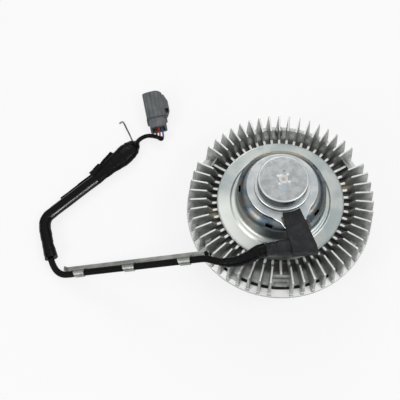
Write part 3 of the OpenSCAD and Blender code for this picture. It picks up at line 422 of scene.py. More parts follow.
def tape(shine):
    """Black harness tape with laps and creases; with shine 1 it turns into a smooth sleeve with a
    glossy lap along the loom."""
    def draw(board):
        uv = board.place("UV")
        across, way = board.part(uv, 0), board.part(uv, 1)
        lap = (way / LAP_PITCH + across).fraction()
        edge = lap.ramp(0.0, 0.06) * (1 - lap.ramp(0.94, 1.0))
        smooth = way.ramp(52, 62) * shine
        lip = across.ramp(0.07, 0.086) * (1 - across.ramp(0.126, 0.144)) * smooth
        fine = board.grain(0.6, 4)
        crease = board.grain(5, 3, stretch=(1, 1, 2.5))
        wear = fine * 0.3 + crease.ramp(0.5, 0.75) * 0.3 * (1 - smooth)
        relief = (crease * 0.7 + fine * 0.08 + edge * 0.25) * (1 - smooth * 0.97)
        return {
            "Base Color": board.blend(wear, (0.002, 0.002, 0.0025), (0.011, 0.011, 0.0125)),
            "Roughness": (0.2 + fine * 0.08 + crease * 0.12 + (1 - edge) * 0.1) * (1 - smooth * 0.6),
            "Coat Weight": lip,
            "Normal": board.bump(relief, 0.5, 0.5),
        }
    return draw


def smooth_conduit(board):
    """Black nylon conduit, glossy on its crests and dusty between them."""
    way = board.part(board.place("UV"), 1)
    crest = (way * (2 * math.pi / RING_PITCH)).wave() * 0.5 + 0.5
    fine = board.grain(0.5, 3)
    dust = board.grain(14, 3)
    return {
        "Base Color": board.blend((1 - crest) * dust * 0.6, (0.003, 0.003, 0.003), (0.022, 0.019, 0.017)),
        "Roughness": 0.4 + (1 - crest) * 0.2 + fine * 0.1,
        "Normal": board.bump(fine, 0.2, 0.08),
    }


def pressed_strip(board):
    """Plated steel strip, pale grey with a faint green cast, rolling marks and dulled spots."""
    roll = board.grain(1.5, 4, stretch=(0.08, 1, 0.08))
    patch = board.grain(12, 3)
    shade = board.blend(patch.ramp(0.35, 0.7), (0.25, 0.26, 0.24), (0.40, 0.41, 0.385))
    return {
        "Base Color": board.blend(roll.ramp(0.55, 0.8) * 0.35, shade, (0.22, 0.225, 0.21)),
        "Metallic": 0.9 + roll * 0.08,
        "Roughness": 0.3 + roll * 0.2,
        "Normal": board.bump(roll, 0.3, 0.12),
    }


def copper_wire(board):
    """Varnished turns of copper wire, one above another, 0.6 mm apart."""
    turns = (board.height() * (2 * math.pi / 0.0006)).wave() * 0.5 + 0.5
    patch = board.grain(4, 3)
    return {
        "Base Color": board.blend(patch, (0.50, 0.19, 0.075), (0.72, 0.36, 0.17)),
        "Metallic": 0.9 + patch * 0.08,
        "Roughness": 0.25 + patch * 0.15,
        "Normal": board.bump(turns, 0.6, 0.3),
    }


FINISHES = {
    "cast_aluminium": finish("cast_aluminium", cast_aluminium),
    "zinc_sheet": finish("bright_zinc", bright_zinc),
    "cap_metal": finish("drawn_cap", drawn_cap),
    "plate": finish("plate_zinc", plate_zinc),
    "turned_steel": finish("turned_steel", metal((0.50, 0.50, 0.49), (0.62, 0.62, 0.61), 0.24)),
    "soft_iron": finish("soft_iron", metal((0.30, 0.31, 0.32), (0.40, 0.41, 0.41), 0.34, 1.6)),
    "bearing_steel": finish("bearing_steel", metal(
        (0.62, 0.62, 0.61), (0.70, 0.70, 0.70), 0.14, 0.8, 0.1, 0.05)),
    "nylon": finish("nylon", plastic((0.55, 0.49, 0.36), (0.66, 0.60, 0.47), 0.4)),
    "seal_rubber": finish("seal_rubber", plastic((0.015, 0.015, 0.015), (0.05, 0.05, 0.048), 0.55)),
    "magnet": finish("magnet", metal((0.05, 0.05, 0.055), (0.09, 0.09, 0.09), 0.5, 1.0)),
    "copper": finish("copper_wire", copper_wire),
    "bobbin_plastic": finish("bobbin_plastic", plastic((0.62, 0.58, 0.47), (0.72, 0.69, 0.60), 0.4)),
    "black_plastic": finish("black_plastic", plastic(
        (0.005, 0.005, 0.0055), (0.016, 0.016, 0.018), 0.42, 0.5), Specular_IOR_Level=0.13),
    "block_moulding": finish("block_moulding", plastic(
        (0.012, 0.014, 0.015), (0.034, 0.038, 0.04), 0.4, 0.5), Specular_IOR_Level=0.2),
    "clip_plastic": finish("clip_plastic", plastic((0.025, 0.018, 0.014), (0.20, 0.145, 0.11), 0.4, 0.25)),
    "conduit_plastic": finish("smooth_conduit", smooth_conduit, Specular_IOR_Level=0.08),
    "tape": finish("wound_tape", tape(0), Specular_IOR_Level=0.1),
    "sleeve": finish("loom_sleeve_tape", tape(1), Specular_IOR_Level=0.1, Coat_IOR=2.6, Coat_Roughness=0.24),
    "steel_strip": finish("pressed_strip", pressed_strip),
    "hook_metal": finish("hook_metal", metal((0.09, 0.09, 0.09), (0.22, 0.22, 0.215), 0.3)),
    "grey_plastic": finish("grey_plastic", plug_plastic),
    "dark_plastic": finish("dark_plastic", plastic((0.02, 0.02, 0.02), (0.05, 0.05, 0.05), 0.45)),
    "orange_rubber": finish("orange_rubber", plastic((0.62, 0.17, 0.03), (0.72, 0.26, 0.07), 0.5)),
}
WIRE_FINISHES = {
    "brown": finish("brown_jacket", plastic((0.085, 0.035, 0.02), (0.13, 0.06, 0.04), 0.35, 0.4)),
    "red": finish("red_jacket", plastic((0.50, 0.035, 0.025), (0.62, 0.09, 0.06), 0.35, 0.4)),
    "blue": finish("blue_jacket", plastic((0.02, 0.10, 0.27), (0.04, 0.17, 0.38), 0.35, 0.4)),
}


def slot_of(node):
    """The record's material slot of a CAD node."""
    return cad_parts[node].material_slots[0].material.name.split(".")[0]


def keep(name, bm, body, slot, material=None, stands_for=(), sharp=32, recalc=True):
    """Turns a mesh in millimetres into a finished piece that rides on a body."""
    if recalc:
        bmesh.ops.remove_doubles(bm, verts=bm.verts, dist=0.001)
        bmesh.ops.recalc_face_normals(bm, faces=bm.faces)
    bmesh.ops.scale(bm, vec=(MM, MM, MM), verts=bm.verts)
    mesh = bpy.data.meshes.new(name)
    bm.to_mesh(mesh)
    bm.free()
    mesh.shade_smooth()
    mesh.set_sharp_from_angle(angle=math.radians(sharp))
    mesh.materials.append(material or FINISHES[slot])
    made = placed(name, mesh)
    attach(made, body)
    if stands_for:
        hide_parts(*stands_for)
    return made


def cad_mesh(node, flats=False):
    """A CAD node's mesh in millimetres; flats joins the triangles of its flat faces."""
    bm = bmesh.new()
    bm.from_mesh(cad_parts[node].data)
    bmesh.ops.remove_doubles(bm, verts=bm.verts, dist=2e-6)
    if flats:
        bmesh.ops.dissolve_limit(bm, angle_limit=math.radians(0.6), verts=bm.verts, edges=bm.edges)
    bmesh.ops.scale(bm, vec=(1 / MM, 1 / MM, 1 / MM), verts=bm.verts)
    return bm


def dressed(node, name, slot, body, width, segments=2, material=None, flats=True, shaped=None):
    """A CAD node's shape, which shaped may work over, with its edges rounded by a radius in millimetres."""
    bm = cad_mesh(node, flats)
    if shaped:
        shaped(bm)
    made = keep(name, bm, body, slot, material, stands_for=(node,), recalc=False)
    rounding = made.modifiers.new("rounding", "BEVEL")
    rounding.width, rounding.segments, rounding.profile = width * MM, segments, 0.5
    rounding.limit_method, rounding.angle_limit = "ANGLE", math.radians(30)
    rounding.harden_normals = True
    rounding.miter_outer = "MITER_ARC"
    return made


def verts_of(geometry):
    """The vertices among what a mesh operator gives back."""
    return [item for item in geometry if isinstance(item, bmesh.types.BMVert)]


def soften(bm, edges, width):
    """Rounds the given edges of a mesh by a width in millimetres."""
    bmesh.ops.bevel(bm, geom=edges, offset=width, offset_type="OFFSET", segments=2, profile=0.5,
                    affect="EDGES", material=-1, clamp_overlap=True)


def turned(bm, angle, out=0.0):
    """Moves a mesh out from the axis and turns it round to its place."""
    bmesh.ops.translate(bm, vec=(out, 0, 0), verts=bm.verts)
    bmesh.ops.rotate(bm, cent=(0, 0, 0), matrix=Matrix.Rotation(math.radians(angle), 3, "Z"),
                     verts=bm.verts)
    return bm


# The harness

def smooth_line(points, spacing):
    """Points an even distance apart on a smooth curve through a route's points."""
    knots = [Vector(p) for p in points]
    knots = [2 * knots[0] - knots[1], *knots, 2 * knots[-1] - knots[-2]]
    close, steps = [], 24
    for a, b, c, d in zip(knots, knots[1:], knots[2:], knots[3:]):
        for i in range(steps):
            t = i / steps
            close.append(0.5 * (2 * b + (c - a) * t + (2 * a - 5 * b + 4 * c - d) * t ** 2
                                + (3 * b - a - 3 * c + d) * t ** 3))
    close.append(knots[-2])
    ways = [0.0]
    for a, b in zip(close, close[1:]):
        ways.append(ways[-1] + (b - a).length)
    count = max(2, round(ways[-1] / spacing))
    line, j = [], 0
    for i in range(count + 1):
        way = ways[-1] * i / count
        while j < len(ways) - 2 and ways[j + 1] < way:
            j += 1
        line.append(close[j].lerp(close[j + 1], (way - ways[j]) / max(ways[j + 1] - ways[j], 1e-9)))
    return line


def swept(line, reach, sides, flat=1.0):
    """A closed tube along a line; reach gives its half width from the way along in millimetres and
    the turn, and flat presses it down."""
    bm = bmesh.new()
    uv = bm.loops.layers.uv.new("UVMap")
    turn, along = bm.verts.layers.int.new("turn"), bm.verts.layers.float.new("along")
    ring = bmesh.ops.create_circle(bm, radius=1, segments=sides)["verts"]
    for k, v in enumerate(ring):
        v[turn] = k
    edges, way, rims = list(bm.edges), 0.0, []
    for i, middle in enumerate(line):
        if i:
            way += (middle - line[i - 1]).length
            made = bmesh.ops.extrude_edge_only(bm, edges=edges)["geom"]
            ring = verts_of(made)
            edges = [g for g in made if isinstance(g, bmesh.types.BMEdge)
                     and all(v in ring for v in g.verts)]
        ahead = (line[min(i + 1, len(line) - 1)] - line[max(i - 1, 0)]).normalized()
        side = ahead.cross(Vector((0, 0, 1))).normalized()
        up = side.cross(ahead)
        for v in ring:
            angle = 2 * math.pi * v[turn] / sides
            half = reach(way, angle)
            v.co = middle + half * (math.cos(angle) * side + flat * math.sin(angle) * up)
            v[along] = way
        if i in (0, len(line) - 1):
            rims.append(list(edges))
    for face in bm.faces:
        across = [v[turn] for v in face.verts]
        seam = max(across) - min(across) > sides / 2
        for loop in face.loops:
            k = loop.vert[turn] + (sides if seam and loop.vert[turn] < sides / 2 else 0)
            loop[uv].uv = (k / sides, loop.vert[along])
    for rim in rims:
        bmesh.ops.edgeloop_fill(bm, edges=rim)
    return bm


def length_of(line):
    """How long a line is, in millimetres."""
    return sum((b - a).length for a, b in zip(line, line[1:]))


def metres(line):
    """A line's points in metres."""
    return [tuple(p * MM) for p in line]


def between(values, share):
    """A smooth value along a list of values, for a share from 0 to 1."""
    at = min(max(share, 0.0), 1.0) * (len(values) - 1)
    i = min(int(at), len(values) - 2)
    t = at - i
    t = t * t * (3 - 2 * t)
    return values[i] * (1 - t) + values[i + 1] * t


def conduit():
    """The black conduit on the strip, with fine rings round it."""
    line = smooth_line(ROUTE[BOOT_LAST:CONDUIT_LAST + 1], 0.6)
    bm = swept(line, lambda way, angle: 3.62 + 0.16 * math.sin(2 * math.pi * way / RING_PITCH), 20)
    made = keep("conduit_hose", bm, "coil_stator", "conduit_plastic", stands_for=("conduit",), sharp=60)
    return made, line


def loom():
    """The taped loom, lumpy at first; its glossy straight stretch has the tape's free edge as a flap."""
    line = smooth_line(ROUTE[CONDUIT_LAST:SLEEVE_LAST + 1], 0.9)
    whole = length_of(line)

    def reach(way, angle):
        share = way / whole
        slim = min(max((share - 0.38) / 0.12, 0.0), 1.0)
        lump = noise.noise(Vector((way / 12, math.cos(angle), math.sin(angle))))
        lap = (way / LAP_PITCH + angle / (2 * math.pi)) % 1.0
        flap = max(0.0, 1 - abs(angle - FLAP_TURN) / 0.36)
        steps = 2.2 * (share > 0.63) + 0.7 * (share > 0.5) + 0.5 * (share > 0.84)
        tail = max(0.0, 1 - share / 0.14) * max(0.0, math.cos(angle - 0.3)) * 1.6
        return (6.75 - 0.3 * slim + (0.45 - 0.3 * slim) * lump + (0.35 - 0.3 * slim) * (0.5 - lap)
                + steps * flap + tail)

    bm = swept(line, reach, 40)
    made = keep("loom_sleeve_taped", bm, "coil_stator", "tape", FINISHES["sleeve"], ("loom_sleeve",), 50)
    return made, line


def lead():
    """The thin taped lead that comes out of the bundle."""
    line = smooth_line(ROUTE[WRAP_LAST - 1:], 0.8)
    bm = swept(line, lambda way, angle: 2.6 + 0.08 * noise.noise(Vector((way / 5, math.cos(angle), 0))), 18)
    made = keep("lead_sheath", bm, "coil_stator", "tape", stands_for=("lead_cable",), sharp=60)
    return made, line


def wrap():
    """The flat, bulging bundle of tape at the end of the loom, round at its far end."""
    widths = [7.4, 7.7, 8.3, 9.2, 10.3, 11.3, 12.1, 12.5, 12.4, 11.4, 8.8, 4.4]
    line = smooth_line(ROUTE[SLEEVE_LAST:WRAP_LAST + 1], 1.0)
    whole = length_of(line)

    def reach(way, angle):
        lump = noise.noise(Vector((way / 9, 2 * math.cos(angle), 2 * math.sin(angle) + 4)))
        lap = (way / 13 - angle / (2 * math.pi)) % 1.0
        share = way / whole
        flap = 6.8 if share < 0.24 else 4.4 if share < 0.52 else 0.0
        flap *= max(0.0, 1 - abs(angle - FLAP_TURN) / 0.4)
        return between(widths, share) * (1 + 0.04 * lump) - 0.5 + 0.5 * (0.5 - lap) + flap

    bm = swept(line, reach, 40, 0.62)
    return keep("loom_wrap_taped", bm, "coil_stator", "tape", stands_for=("loom_wrap",), sharp=50)


def boot():
    """The tape-wound end of the conduit at the adapter, tapering towards the conduit."""
    line = smooth_line(ROUTE[:BOOT_LAST + 1], 0.8)
    whole = length_of(line)
    widths = [6.8, 6.8, 6.4, 5.8, 5.0, 4.3]
    bm = swept(line, lambda way, angle: between(widths, way / whole)
               + 0.35 * (0.5 - (way / 6 + angle / (2 * math.pi)) % 1.0), 24)
    return keep("conduit_boot_taped", bm, "coil_stator", "tape", stands_for=("conduit_boot",), sharp=50)


def knot():
    """The knot of tape past the lead's end, where the blue wire turns back to the plug."""
    line = smooth_line(KNOT, 0.4)
    whole = length_of(line)
    widths = [2.5, 2.5, 2.3, 2.4, 2.9, 3.1, 2.7, 1.2]
    bm = swept(line, lambda way, angle: between(widths, way / whole), 16)
    return keep("knot_on_lead", bm, "coil_stator", "tape", sharp=60)


def wires():
    """The three wires from the end of the lead into the plug."""
    made = []
    for colour, points in WIRES.items():
        line = smooth_line(points, 0.7)
        bm = swept(line, lambda way, angle: 1.08, 12)
        made.append(keep(f"plug_wire_{colour}", bm, "coil_stator", "wire_jacket", WIRE_FINISHES[colour],
                         ("plug_wires",) if colour == "brown" else ()))
    return made


def hook():
    """The bent end of a dark wire that stands out of the bundle."""
    bm = swept(smooth_line(HOOK, 0.7), lambda way, angle: 1.0, 12)
    return keep("hook_of_wire", bm, "coil_stator", "hook_metal", stands_for=("hook_wire",))


def cut(bm, axis, place):
    """Cuts new edges where a plane across the x axis (0) or the y axis (1) meets a mesh."""
    across = Vector((axis == 0, axis == 1, 0))
    bmesh.ops.bisect_plane(bm, geom=[*bm.verts, *bm.edges, *bm.faces], plane_co=across * place,
                           plane_no=across)


def bowed_mouth(bm):
    """Bows the plug's open end, which falls away to its corners and most towards the latch."""
    square = Matrix.Rotation(math.radians(-PLUG_TURN), 4, "Z") @ Matrix.Translation(-Vector(PLUG_AT))
    bmesh.ops.transform(bm, matrix=square, verts=bm.verts)
    for k in range(-5, 6):
        cut(bm, 0, 2 * k)
    mouth, crown = max(v.co.y for v in bm.verts) - 0.01, 3
    bow_at_latch, bow_away = 0.054, 0.0065
    for v in bm.verts:
        if v.co.y > mouth:
            away = v.co.x - crown
            v.co.y -= away ** 2 * (bow_at_latch if away > 0 else bow_away)
    bmesh.ops.transform(bm, matrix=square.inverted(), verts=bm.verts)


def plug_latch():
    """The latch on the plug's side: a sloping rib with a dark pocket in its top."""
    half, low, high, foot, deep = 12, 5, 13, 16, 3.5
    outline = [(half, foot), (half + 1.6, foot), (half + 5.5, foot + 8), (half + 5.5, foot + 19),
               (half + 2, foot + 29), (half, foot + 30)]
    left, right, near, far = half + 0.2, half + 4.3, foot + 2.4, foot + 8.8

    def in_pocket(point, ease=0.0):
        return left - ease < point.x < right + ease and near - ease < point.y < far + ease

    bm = bmesh.new()
    face = bm.faces.new([bm.verts.new((x, y, low)) for x, y in outline])
    grown = bmesh.ops.extrude_face_region(bm, geom=[face])["geom"]
    bmesh.ops.translate(bm, vec=(0, 0, high - low), verts=verts_of(grown))
    for axis, place in ((0, left), (0, right), (1, near), (1, far)):
        cut(bm, axis, place)
    bmesh.ops.recalc_face_normals(bm, faces=bm.faces)
    inside = [f for f in bm.faces if f.normal.z > 0.9 and in_pocket(f.calc_center_median())]
    floor = bmesh.ops.extrude_face_region(bm, geom=inside)["geom"]
    bmesh.ops.delete(bm, geom=inside, context="FACES_ONLY")
    bmesh.ops.translate(bm, vec=(0, 0, -deep), verts=verts_of(floor))
    for f in bm.faces:
        middle = f.calc_center_median()
        f.material_index = int(low + 1 < middle.z < high - 0.5 and in_pocket(middle, 0.01))
    bmesh.ops.recalc_face_normals(bm, faces=bm.faces)
    soften(bm, [e for e in bm.edges if e.calc_face_angle(0) > 0.3], 0.4)
    turned(bm, PLUG_TURN)
    bmesh.ops.translate(bm, vec=PLUG_AT, verts=bm.verts)
    made = keep("plug_catch", bm, "coil_stator", "grey_plastic", stands_for=("plug_latch",))
    made.data.materials.append(FINISHES["dark_plastic"])
    return made


hose, hose_line = conduit()
sleeve, sleeve_line = loom()
sheath, sheath_line = lead()

strip = dressed("harness_strip", "strip_with_tabs", "steel_strip", "coil_stator", 0.3)
button = dressed("strip_button", "button_on_strip", "black_plastic", "coil_stator", 0.25)
plug_pieces = [
    dressed("plug_shell", "plug_body", "grey_plastic", "coil_stator", 0.5, shaped=bowed_mouth),
    plug_latch(),
    dressed("plug_rear_cover", "plug_cover", "grey_plastic", "coil_stator", 0.4),
    dressed("plug_insert", "plug_core", "dark_plastic", "coil_stator", 0.2),
    dressed("plug_seal", "plug_lip_seal", "orange_rubber", "coil_stator", 0.15),
]
tape_boot, tape_wrap, tape_knot, wire_hook, plug_wires = boot(), wrap(), knot(), hook(), wires()

hose_line[0] * MM
length_of(hose_line) * MM
metres(hose_line)
sleeve_line[0] * MM
length_of(sleeve_line) * MM
metres(sleeve_line)
sheath_line[0] * MM
length_of(sheath_line) * MM
metres(sheath_line)


# Turned and cast shapes

def join(whole, part):
    """Adds a finished mesh to the one it belongs to."""
    mesh = bpy.data.meshes.new("joined")
    part.to_mesh(mesh)
    part.free()
    whole.from_mesh(mesh)
    bpy.data.meshes.remove(mesh)


def lathed(profile, steps=144, closed=True):
    """A profile of radius and height, closed or open, turned once round the axis."""
    bm = bmesh.new()
    points = [bm.verts.new((r, 0, z)) for r, z in profile]
    ends = points[1:] + points[:1] if closed else points[1:]
    edges = [bm.edges.new(pair) for pair in zip(points, ends)
             if not (pair[0].co.x == 0 and pair[1].co.x == 0)]
    bmesh.ops.spin(bm, geom=[*points, *edges], cent=(0, 0, 0), axis=(0, 0, 1), angle=2 * math.pi,
                   steps=steps, use_merge=True, use_duplicate=False)
    bmesh.ops.remove_doubles(bm, verts=bm.verts, dist=0.001)
    bmesh.ops.recalc_face_normals(bm, faces=bm.faces)
    return bm


def rounded(profile, radius=0.3, segments=3):
    """A profile with rounded corners; a point is (r, z), or (r, z, a radius of its own)."""
    out = []
    count = len(profile)
    for i, point in enumerate(profile):
        here = Vector(point[:2])
        size = point[2] if len(point) > 2 else radius
        before, after = Vector(profile[i - 1][:2]), Vector(profile[(i + 1) % count][:2])
        if size <= 0:
            out.append(tuple(here))
            continue
        a = here + (before - here).normalized() * min(size, (before - here).length * 0.48)
        b = here + (after - here).normalized() * min(size, (after - here).length * 0.48)
        for k in range(segments + 1):
            t = k / segments
            p = a * (1 - t) ** 2 + here * 2 * t * (1 - t) + b * t * t
            out.append((max(p.x, 0.0), p.y))
    return out


def bar(side_view, thickness, edge=0.25):
    """A rounded bar from its side view, in radius and height; thickness says how thick it is at a
    height."""
    bm = bmesh.new()
    face = bm.faces.new([bm.verts.new((r, 0, z)) for r, z in side_view])
    grown = bmesh.ops.extrude_face_region(bm, geom=[face])["geom"]
    far = set(verts_of(grown))
    for v in bm.verts:
        v.co.y = thickness(v.co.z) * (0.5 if v in far else -0.5)
    bmesh.ops.recalc_face_normals(bm, faces=bm.faces)
    soften(bm, list(bm.edges), edge)
    return bm


def block(r_in, r_out, half, z_low, z_top, edge):
    """A cast pad or wall between two radii, with its edges rounded."""
    return bar([(r_in, z_low), (r_out, z_low), (r_out, z_top), (r_in, z_top)], lambda z: 2 * half, edge)


def boss(radius, z_low, z_top, hole=0.0):
    """A round boss with a rounded top edge, solid or with a hole through it."""
    return lathed(rounded([
        (hole, z_low, 0), (radius, z_low), (radius, z_top, 0.6), (hole, z_top, 0.3 if hole else 0)]), 32)


# The castings

FIN_STEP = 360 / FIN_PLACES
FIN_ANGLES = [90 - FIN_STEP * k for k in range(FIN_PLACES) if k % 18 != 9]
POCKET_ANGLES = (30, 150, 270)
SCREW_ANGLES = (90, 210, 330)


def fin_thickness(z):
    """A fin's draft: 4.2 mm at the flange and 1.7 mm at its top edge."""
    return FIN_TOP_T + (FIN_BASE_T - FIN_TOP_T) * (FIN_TOP_Z - z) / (FIN_TOP_Z - FLANGE_Z)


def fin_edge_r(z):
    """Radius of a fin's outer edge at a height."""
    return FIN_TIP_R + (FIN_FOOT_R - FIN_TIP_R) * (FIN_TOP_Z - z) / (FIN_TOP_Z - FLANGE_Z - FLANGE_T)


def finned_cover():
    """The front casting: its turned skin with ring lands inside, 51 tall fins, three pockets with a
    wall and a pad, two raised bars over the oil passages, and three screw bosses."""
    bm = lathed(rounded([
        (10, 61.7), (10, 65.7), (21.5, 65.7), (21.5, 63.2, 0), (25.5, 63.2, 0), (25.5, 65.7), (29, 65.7),
        (29, 63.2, 0), (33, 63.2, 0), (33, 65.7), (42, 65.7, 1.2), (42, SEAT_Z, 1.5), (67, SEAT_Z, 0.4),
        (67.8, 48.5, 1.6), (80, 48.5, 3), (87.5, 45.8, 3), (JOINT_R, 43, 0.8),
        (JOINT_R, COVER_LOW_Z, 0.3), (90.5, COVER_LOW_Z, 0), (90.5, 41, 0), (84, 41), (84, 38),
        (81.6, 38), (81.6, 44.2), (53.5, 44.2, 0.5), (53.5, 46.2, 0), (49.5, 46.2),
        (49.5, 52.7, 1.5), (38, 52.7, 1), (38, 61.7, 1.5)]))
    for k in range(5):
        land_r, half = 76.4 - 5 * k, 0.8
        join(bm, lathed(rounded([
            (land_r - half, 37.4), (land_r + half, 37.4), (land_r + half, 44.7, 0),
            (land_r - half, 44.7, 0)], 0.2)))
    for k, angle in enumerate(FIN_ANGLES):
        lean = 0.35 * noise.noise(Vector((k * 0.73, 0.4, 0)))
        fin = rounded([
            (66, 47.5, 0), (66, RIB_TOP_Z, 0), (73.6 + lean, RIB_TOP_Z, 0.5), (79 + lean, FIN_TOP_Z, 0.9),
            (FIN_TIP_R, FIN_TOP_Z, 2.2), (fin_edge_r(COVER_LOW_Z), COVER_LOW_Z, 0.4),
            (91.5, COVER_LOW_Z, 0), (84, 45, 0), (80, 47.5, 0)])
        askew = 0.12 * noise.noise(Vector((k * 0.91, 7.3, 0)))
        join(bm, turned(bar(fin, fin_thickness), angle + askew))
    for angle in POCKET_ANGLES:
        rib = rounded([(66, 47.5, 0), (66, RIB_TOP_Z, 0), (85, RIB_TOP_Z, 0), (85, 45.4, 0), (80, 47.5, 0)])
        join(bm, turned(bar(rib, fin_thickness), angle))
        join(bm, turned(block(84, 85.8, 9.75, 45, 57.2, 0.35), angle))
        join(bm, turned(block(88.5, 93, 6.5, COVER_LOW_Z, 46, 0.5), angle))
    for angle in (2 * FIN_STEP, 180 + 2 * FIN_STEP):
        join(bm, turned(block(65, 82.4, 3.1, 46.5, 51.8, 0.6), angle))
    for angle in SCREW_ANGLES:
        join(bm, turned(boss(4.2, 42.2, 53.2), angle, SCREW_R))
    keep("finned_cover", bm, "housing", "cast_aluminium", stands_for=("front_cover",), recalc=False)


def finned_body():
    """The rear casting: its wall, flange and hub, the stubs of the fins, three lugs, and the straight
    fins and bolt bosses behind."""
    bm = lathed(rounded([
        (31, 11), (37, 11, 0.8), (38, 23.5, 2), (83.6, 25, 2), (89.6, FLANGE_Z, 1.5), (FLANGE_R, FLANGE_Z),
        (FLANGE_R, 34.2, 0.3), (101.4, 35, 0.4), (95, 39.2, 0.3), (94.6, 36.5, 0.3), (92, 36.5, 0.3),
        (91.6, 40.5, 0.3), (90.5, 40.5, 0), (90.5, 41, 0), (86.2, 41),
        (86.2, 39.2, 0), (84, 39.2), (84, 33.5), (81.5, 31), (27.5, 31), (27.5, 30, 0), (31, 30, 0),
        (31, 14, 0), (32.2, 14, 0), (32.2, 12.7, 0), (31, 12.7, 0)]))
    for angle in FIN_ANGLES:
        stub = rounded([
            (94.9, 32, 0), (94.9, 40, 0), (fin_edge_r(40), 40, 0.6), (101.6, 35, 0.3), (101.6, 32, 0)])
        join(bm, turned(bar(stub, fin_thickness, 0.2), angle))
    for angle in (0, 120, 240):
        join(bm, turned(block(JOINT_R - 1, 98, 4, 33, 40.5, 0.4), angle))
    for k in range(36):
        fin = rounded([(33, 16, 1), (78.6, 20, 2), (87.6, 30.5, 0.5), (83.6, 26, 0), (33, 26, 0)])
        join(bm, turned(bar(fin, lambda z: 2.4, 0.35), 5 + 10 * k))
    for angle in (45, 135, 225, 315):
        join(bm, turned(boss(9, 17, 30, 3.4), angle, 66))
    for angle in SCREW_ANGLES:
        join(bm, turned(boss(4.2, 28, 40), angle, SCREW_R))
    keep("finned_body", bm, "housing", "cast_aluminium", stands_for=("rear_body",), recalc=False)


def spun_shield():
    """The spun shield: a flat rim, a rolled bead, a steep wall and a broad shoulder with five slots."""
    slot_top, slot_low, step = (42.8, 86.6), (45.4, 83.8), 1.2
    outside = rounded([
        (36.1, SHIELD_TOP_Z, 0), (37.0, SHIELD_TOP_Z, 0.8), (39.6, 89.1, 2.0), (*slot_top, 0),
        (*slot_low, 0), (46.6, 82.0, 1.8), (47, 61.7, 2), (49.3, 59.7, 1.6), (52.2, 59.7, 1.4),
        (54.2, 57.7, 1.2), (66.7, 57.7, 0.6), (67.6, 58.3, 0)], segments=4)
    bm = lathed(outside, round(360 / step), closed=False)
    if max(bm.faces, key=lambda face: face.calc_center_median().z).normal.z < 0:
        bmesh.ops.reverse_faces(bm, faces=bm.faces)
    holes = []
    for face in bm.faces:
        middle = face.calc_center_median()
        turn = math.degrees(math.atan2(middle.y, middle.x)) % 72 - 36
        if slot_low[1] < middle.z < slot_top[1] and abs(turn) < 4 * step:
            holes.append(face)
    bmesh.ops.delete(bm, geom=holes, context="FACES")
    made = keep("spun_shield", bm, "housing", "zinc_sheet", stands_for=("shield",), recalc=False)
    sheet = made.modifiers.new("sheet", "SOLIDIFY")
    sheet.thickness, sheet.offset, sheet.use_even_offset = 1.5 * MM, -1, True
    rolled = made.modifiers.new("rolled_edges", "BEVEL")
    rolled.width, rolled.segments, rolled.profile = 0.3 * MM, 2, 0.5
    rolled.limit_method, rolled.angle_limit = "ANGLE", math.radians(50)


finned_cover()
finned_body()
spun_shield()
dressed("cover_screws", "socket_screws", "turned_steel", "housing", 0.2, 2, flats=False)


# The coil unit

def cap():
    """The drawn cap with its broad rounded edge, sunk centre and four staked spots."""
    top, foot = CAP_TOP_Z, CAP_Z
    bm = lathed(rounded([
        (0, top - 0.6, 0), (4.6, top - 0.6, 0.4), (5.5, top, 0.4), (25.9, top, 1.6), (26, foot, 0.3),
        (24.4, foot, 0.3), (24.3, top - 1.5, 0.5), (0, top - 1.5, 0)], 1.0, 6))
    for angle in STAKE_ANGLES:
        spot = bmesh.ops.create_uvsphere(bm, u_segments=16, v_segments=10, radius=1)["verts"]
        bmesh.ops.scale(bm, vec=(0.75, 1.7, 0.5), verts=spot)
        for v in spot:
            v.co.x -= 0.22 * v.co.y ** 2
        bmesh.ops.translate(bm, vec=(STAKE_R, 0, top - 0.12), verts=spot)
        around = Matrix.Rotation(math.radians(angle), 3, "Z")
        bmesh.ops.rotate(bm, cent=(0, 0, 0), matrix=around, verts=spot)
    keep("drawn_cap", bm, "coil_stator", "cap_metal", stands_for=("cap",))


def adapter():
    """The tapered adapter that leads the conduit into the block, with two grooves round it and a lip."""
    bm = lathed(rounded([
        (3, 0.2), (6.7, 0.2, 0.5), (6.7, 1.8, 0.3), (6.1, 2.3, 0.3), (6.1, 3.2, 0.4), (6.6, 3.9, 0.6),
        (7.0, 8.7, 0.5), (6.5, 9.3, 0.3), (6.5, 10.4, 0.3), (7.3, 11.0, 0.5), (8.1, 20.6, 0.6),
        (8.7, 21.2, 0.4), (8.7, 26, 0), (3, 26, 0)], 0.3), 64)
    laid = Matrix.Rotation(math.radians(ADAPTER_TILT), 4, "Z") @ Matrix.Rotation(math.radians(90), 4, "Y")
    bmesh.ops.transform(bm, matrix=Matrix.Translation(ADAPTER_AT) @ laid, verts=bm.verts)
    keep("adapter_sleeve", bm, "coil_stator", "black_plastic", FINISHES["block_moulding"],
         ("conduit_adapter",), recalc=False)


def valve_spring():
    """The valve's spring, which is squeezed from below as the coil lifts the valve."""
    made = keep("spring_of_valve", cad_mesh("valve_spring"), "housing", slot_of("valve_spring"),
                stands_for=("valve_spring",), recalc=False)
    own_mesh(made)


cap()
adapter()
valve_spring()
dressed("bearing_carrier", "carrier_with_flange", "zinc_sheet", "coil_stator", 0.35, 3,
        FINISHES["plate"], flats=False)
dressed("carrier_plate", "coil_plate", "zinc_sheet", "coil_stator", 0.9, 4, FINISHES["plate"])
dressed("lead_block", "lead_block_moulding", "black_plastic", "coil_stator", 0.6, 3,
        FINISHES["block_moulding"])
dressed("block_clip", "block_catches", "black_plastic", "coil_stator", 0.35, 2,
        FINISHES["clip_plastic"])
dressed("coil_shell", "coil_case", "soft_iron", "coil_stator", 0.3, 2, flats=False)
dressed("input_shaft", "hub_nut_shaft", "turned_steel", "input", 0.4, 2, flats=False)

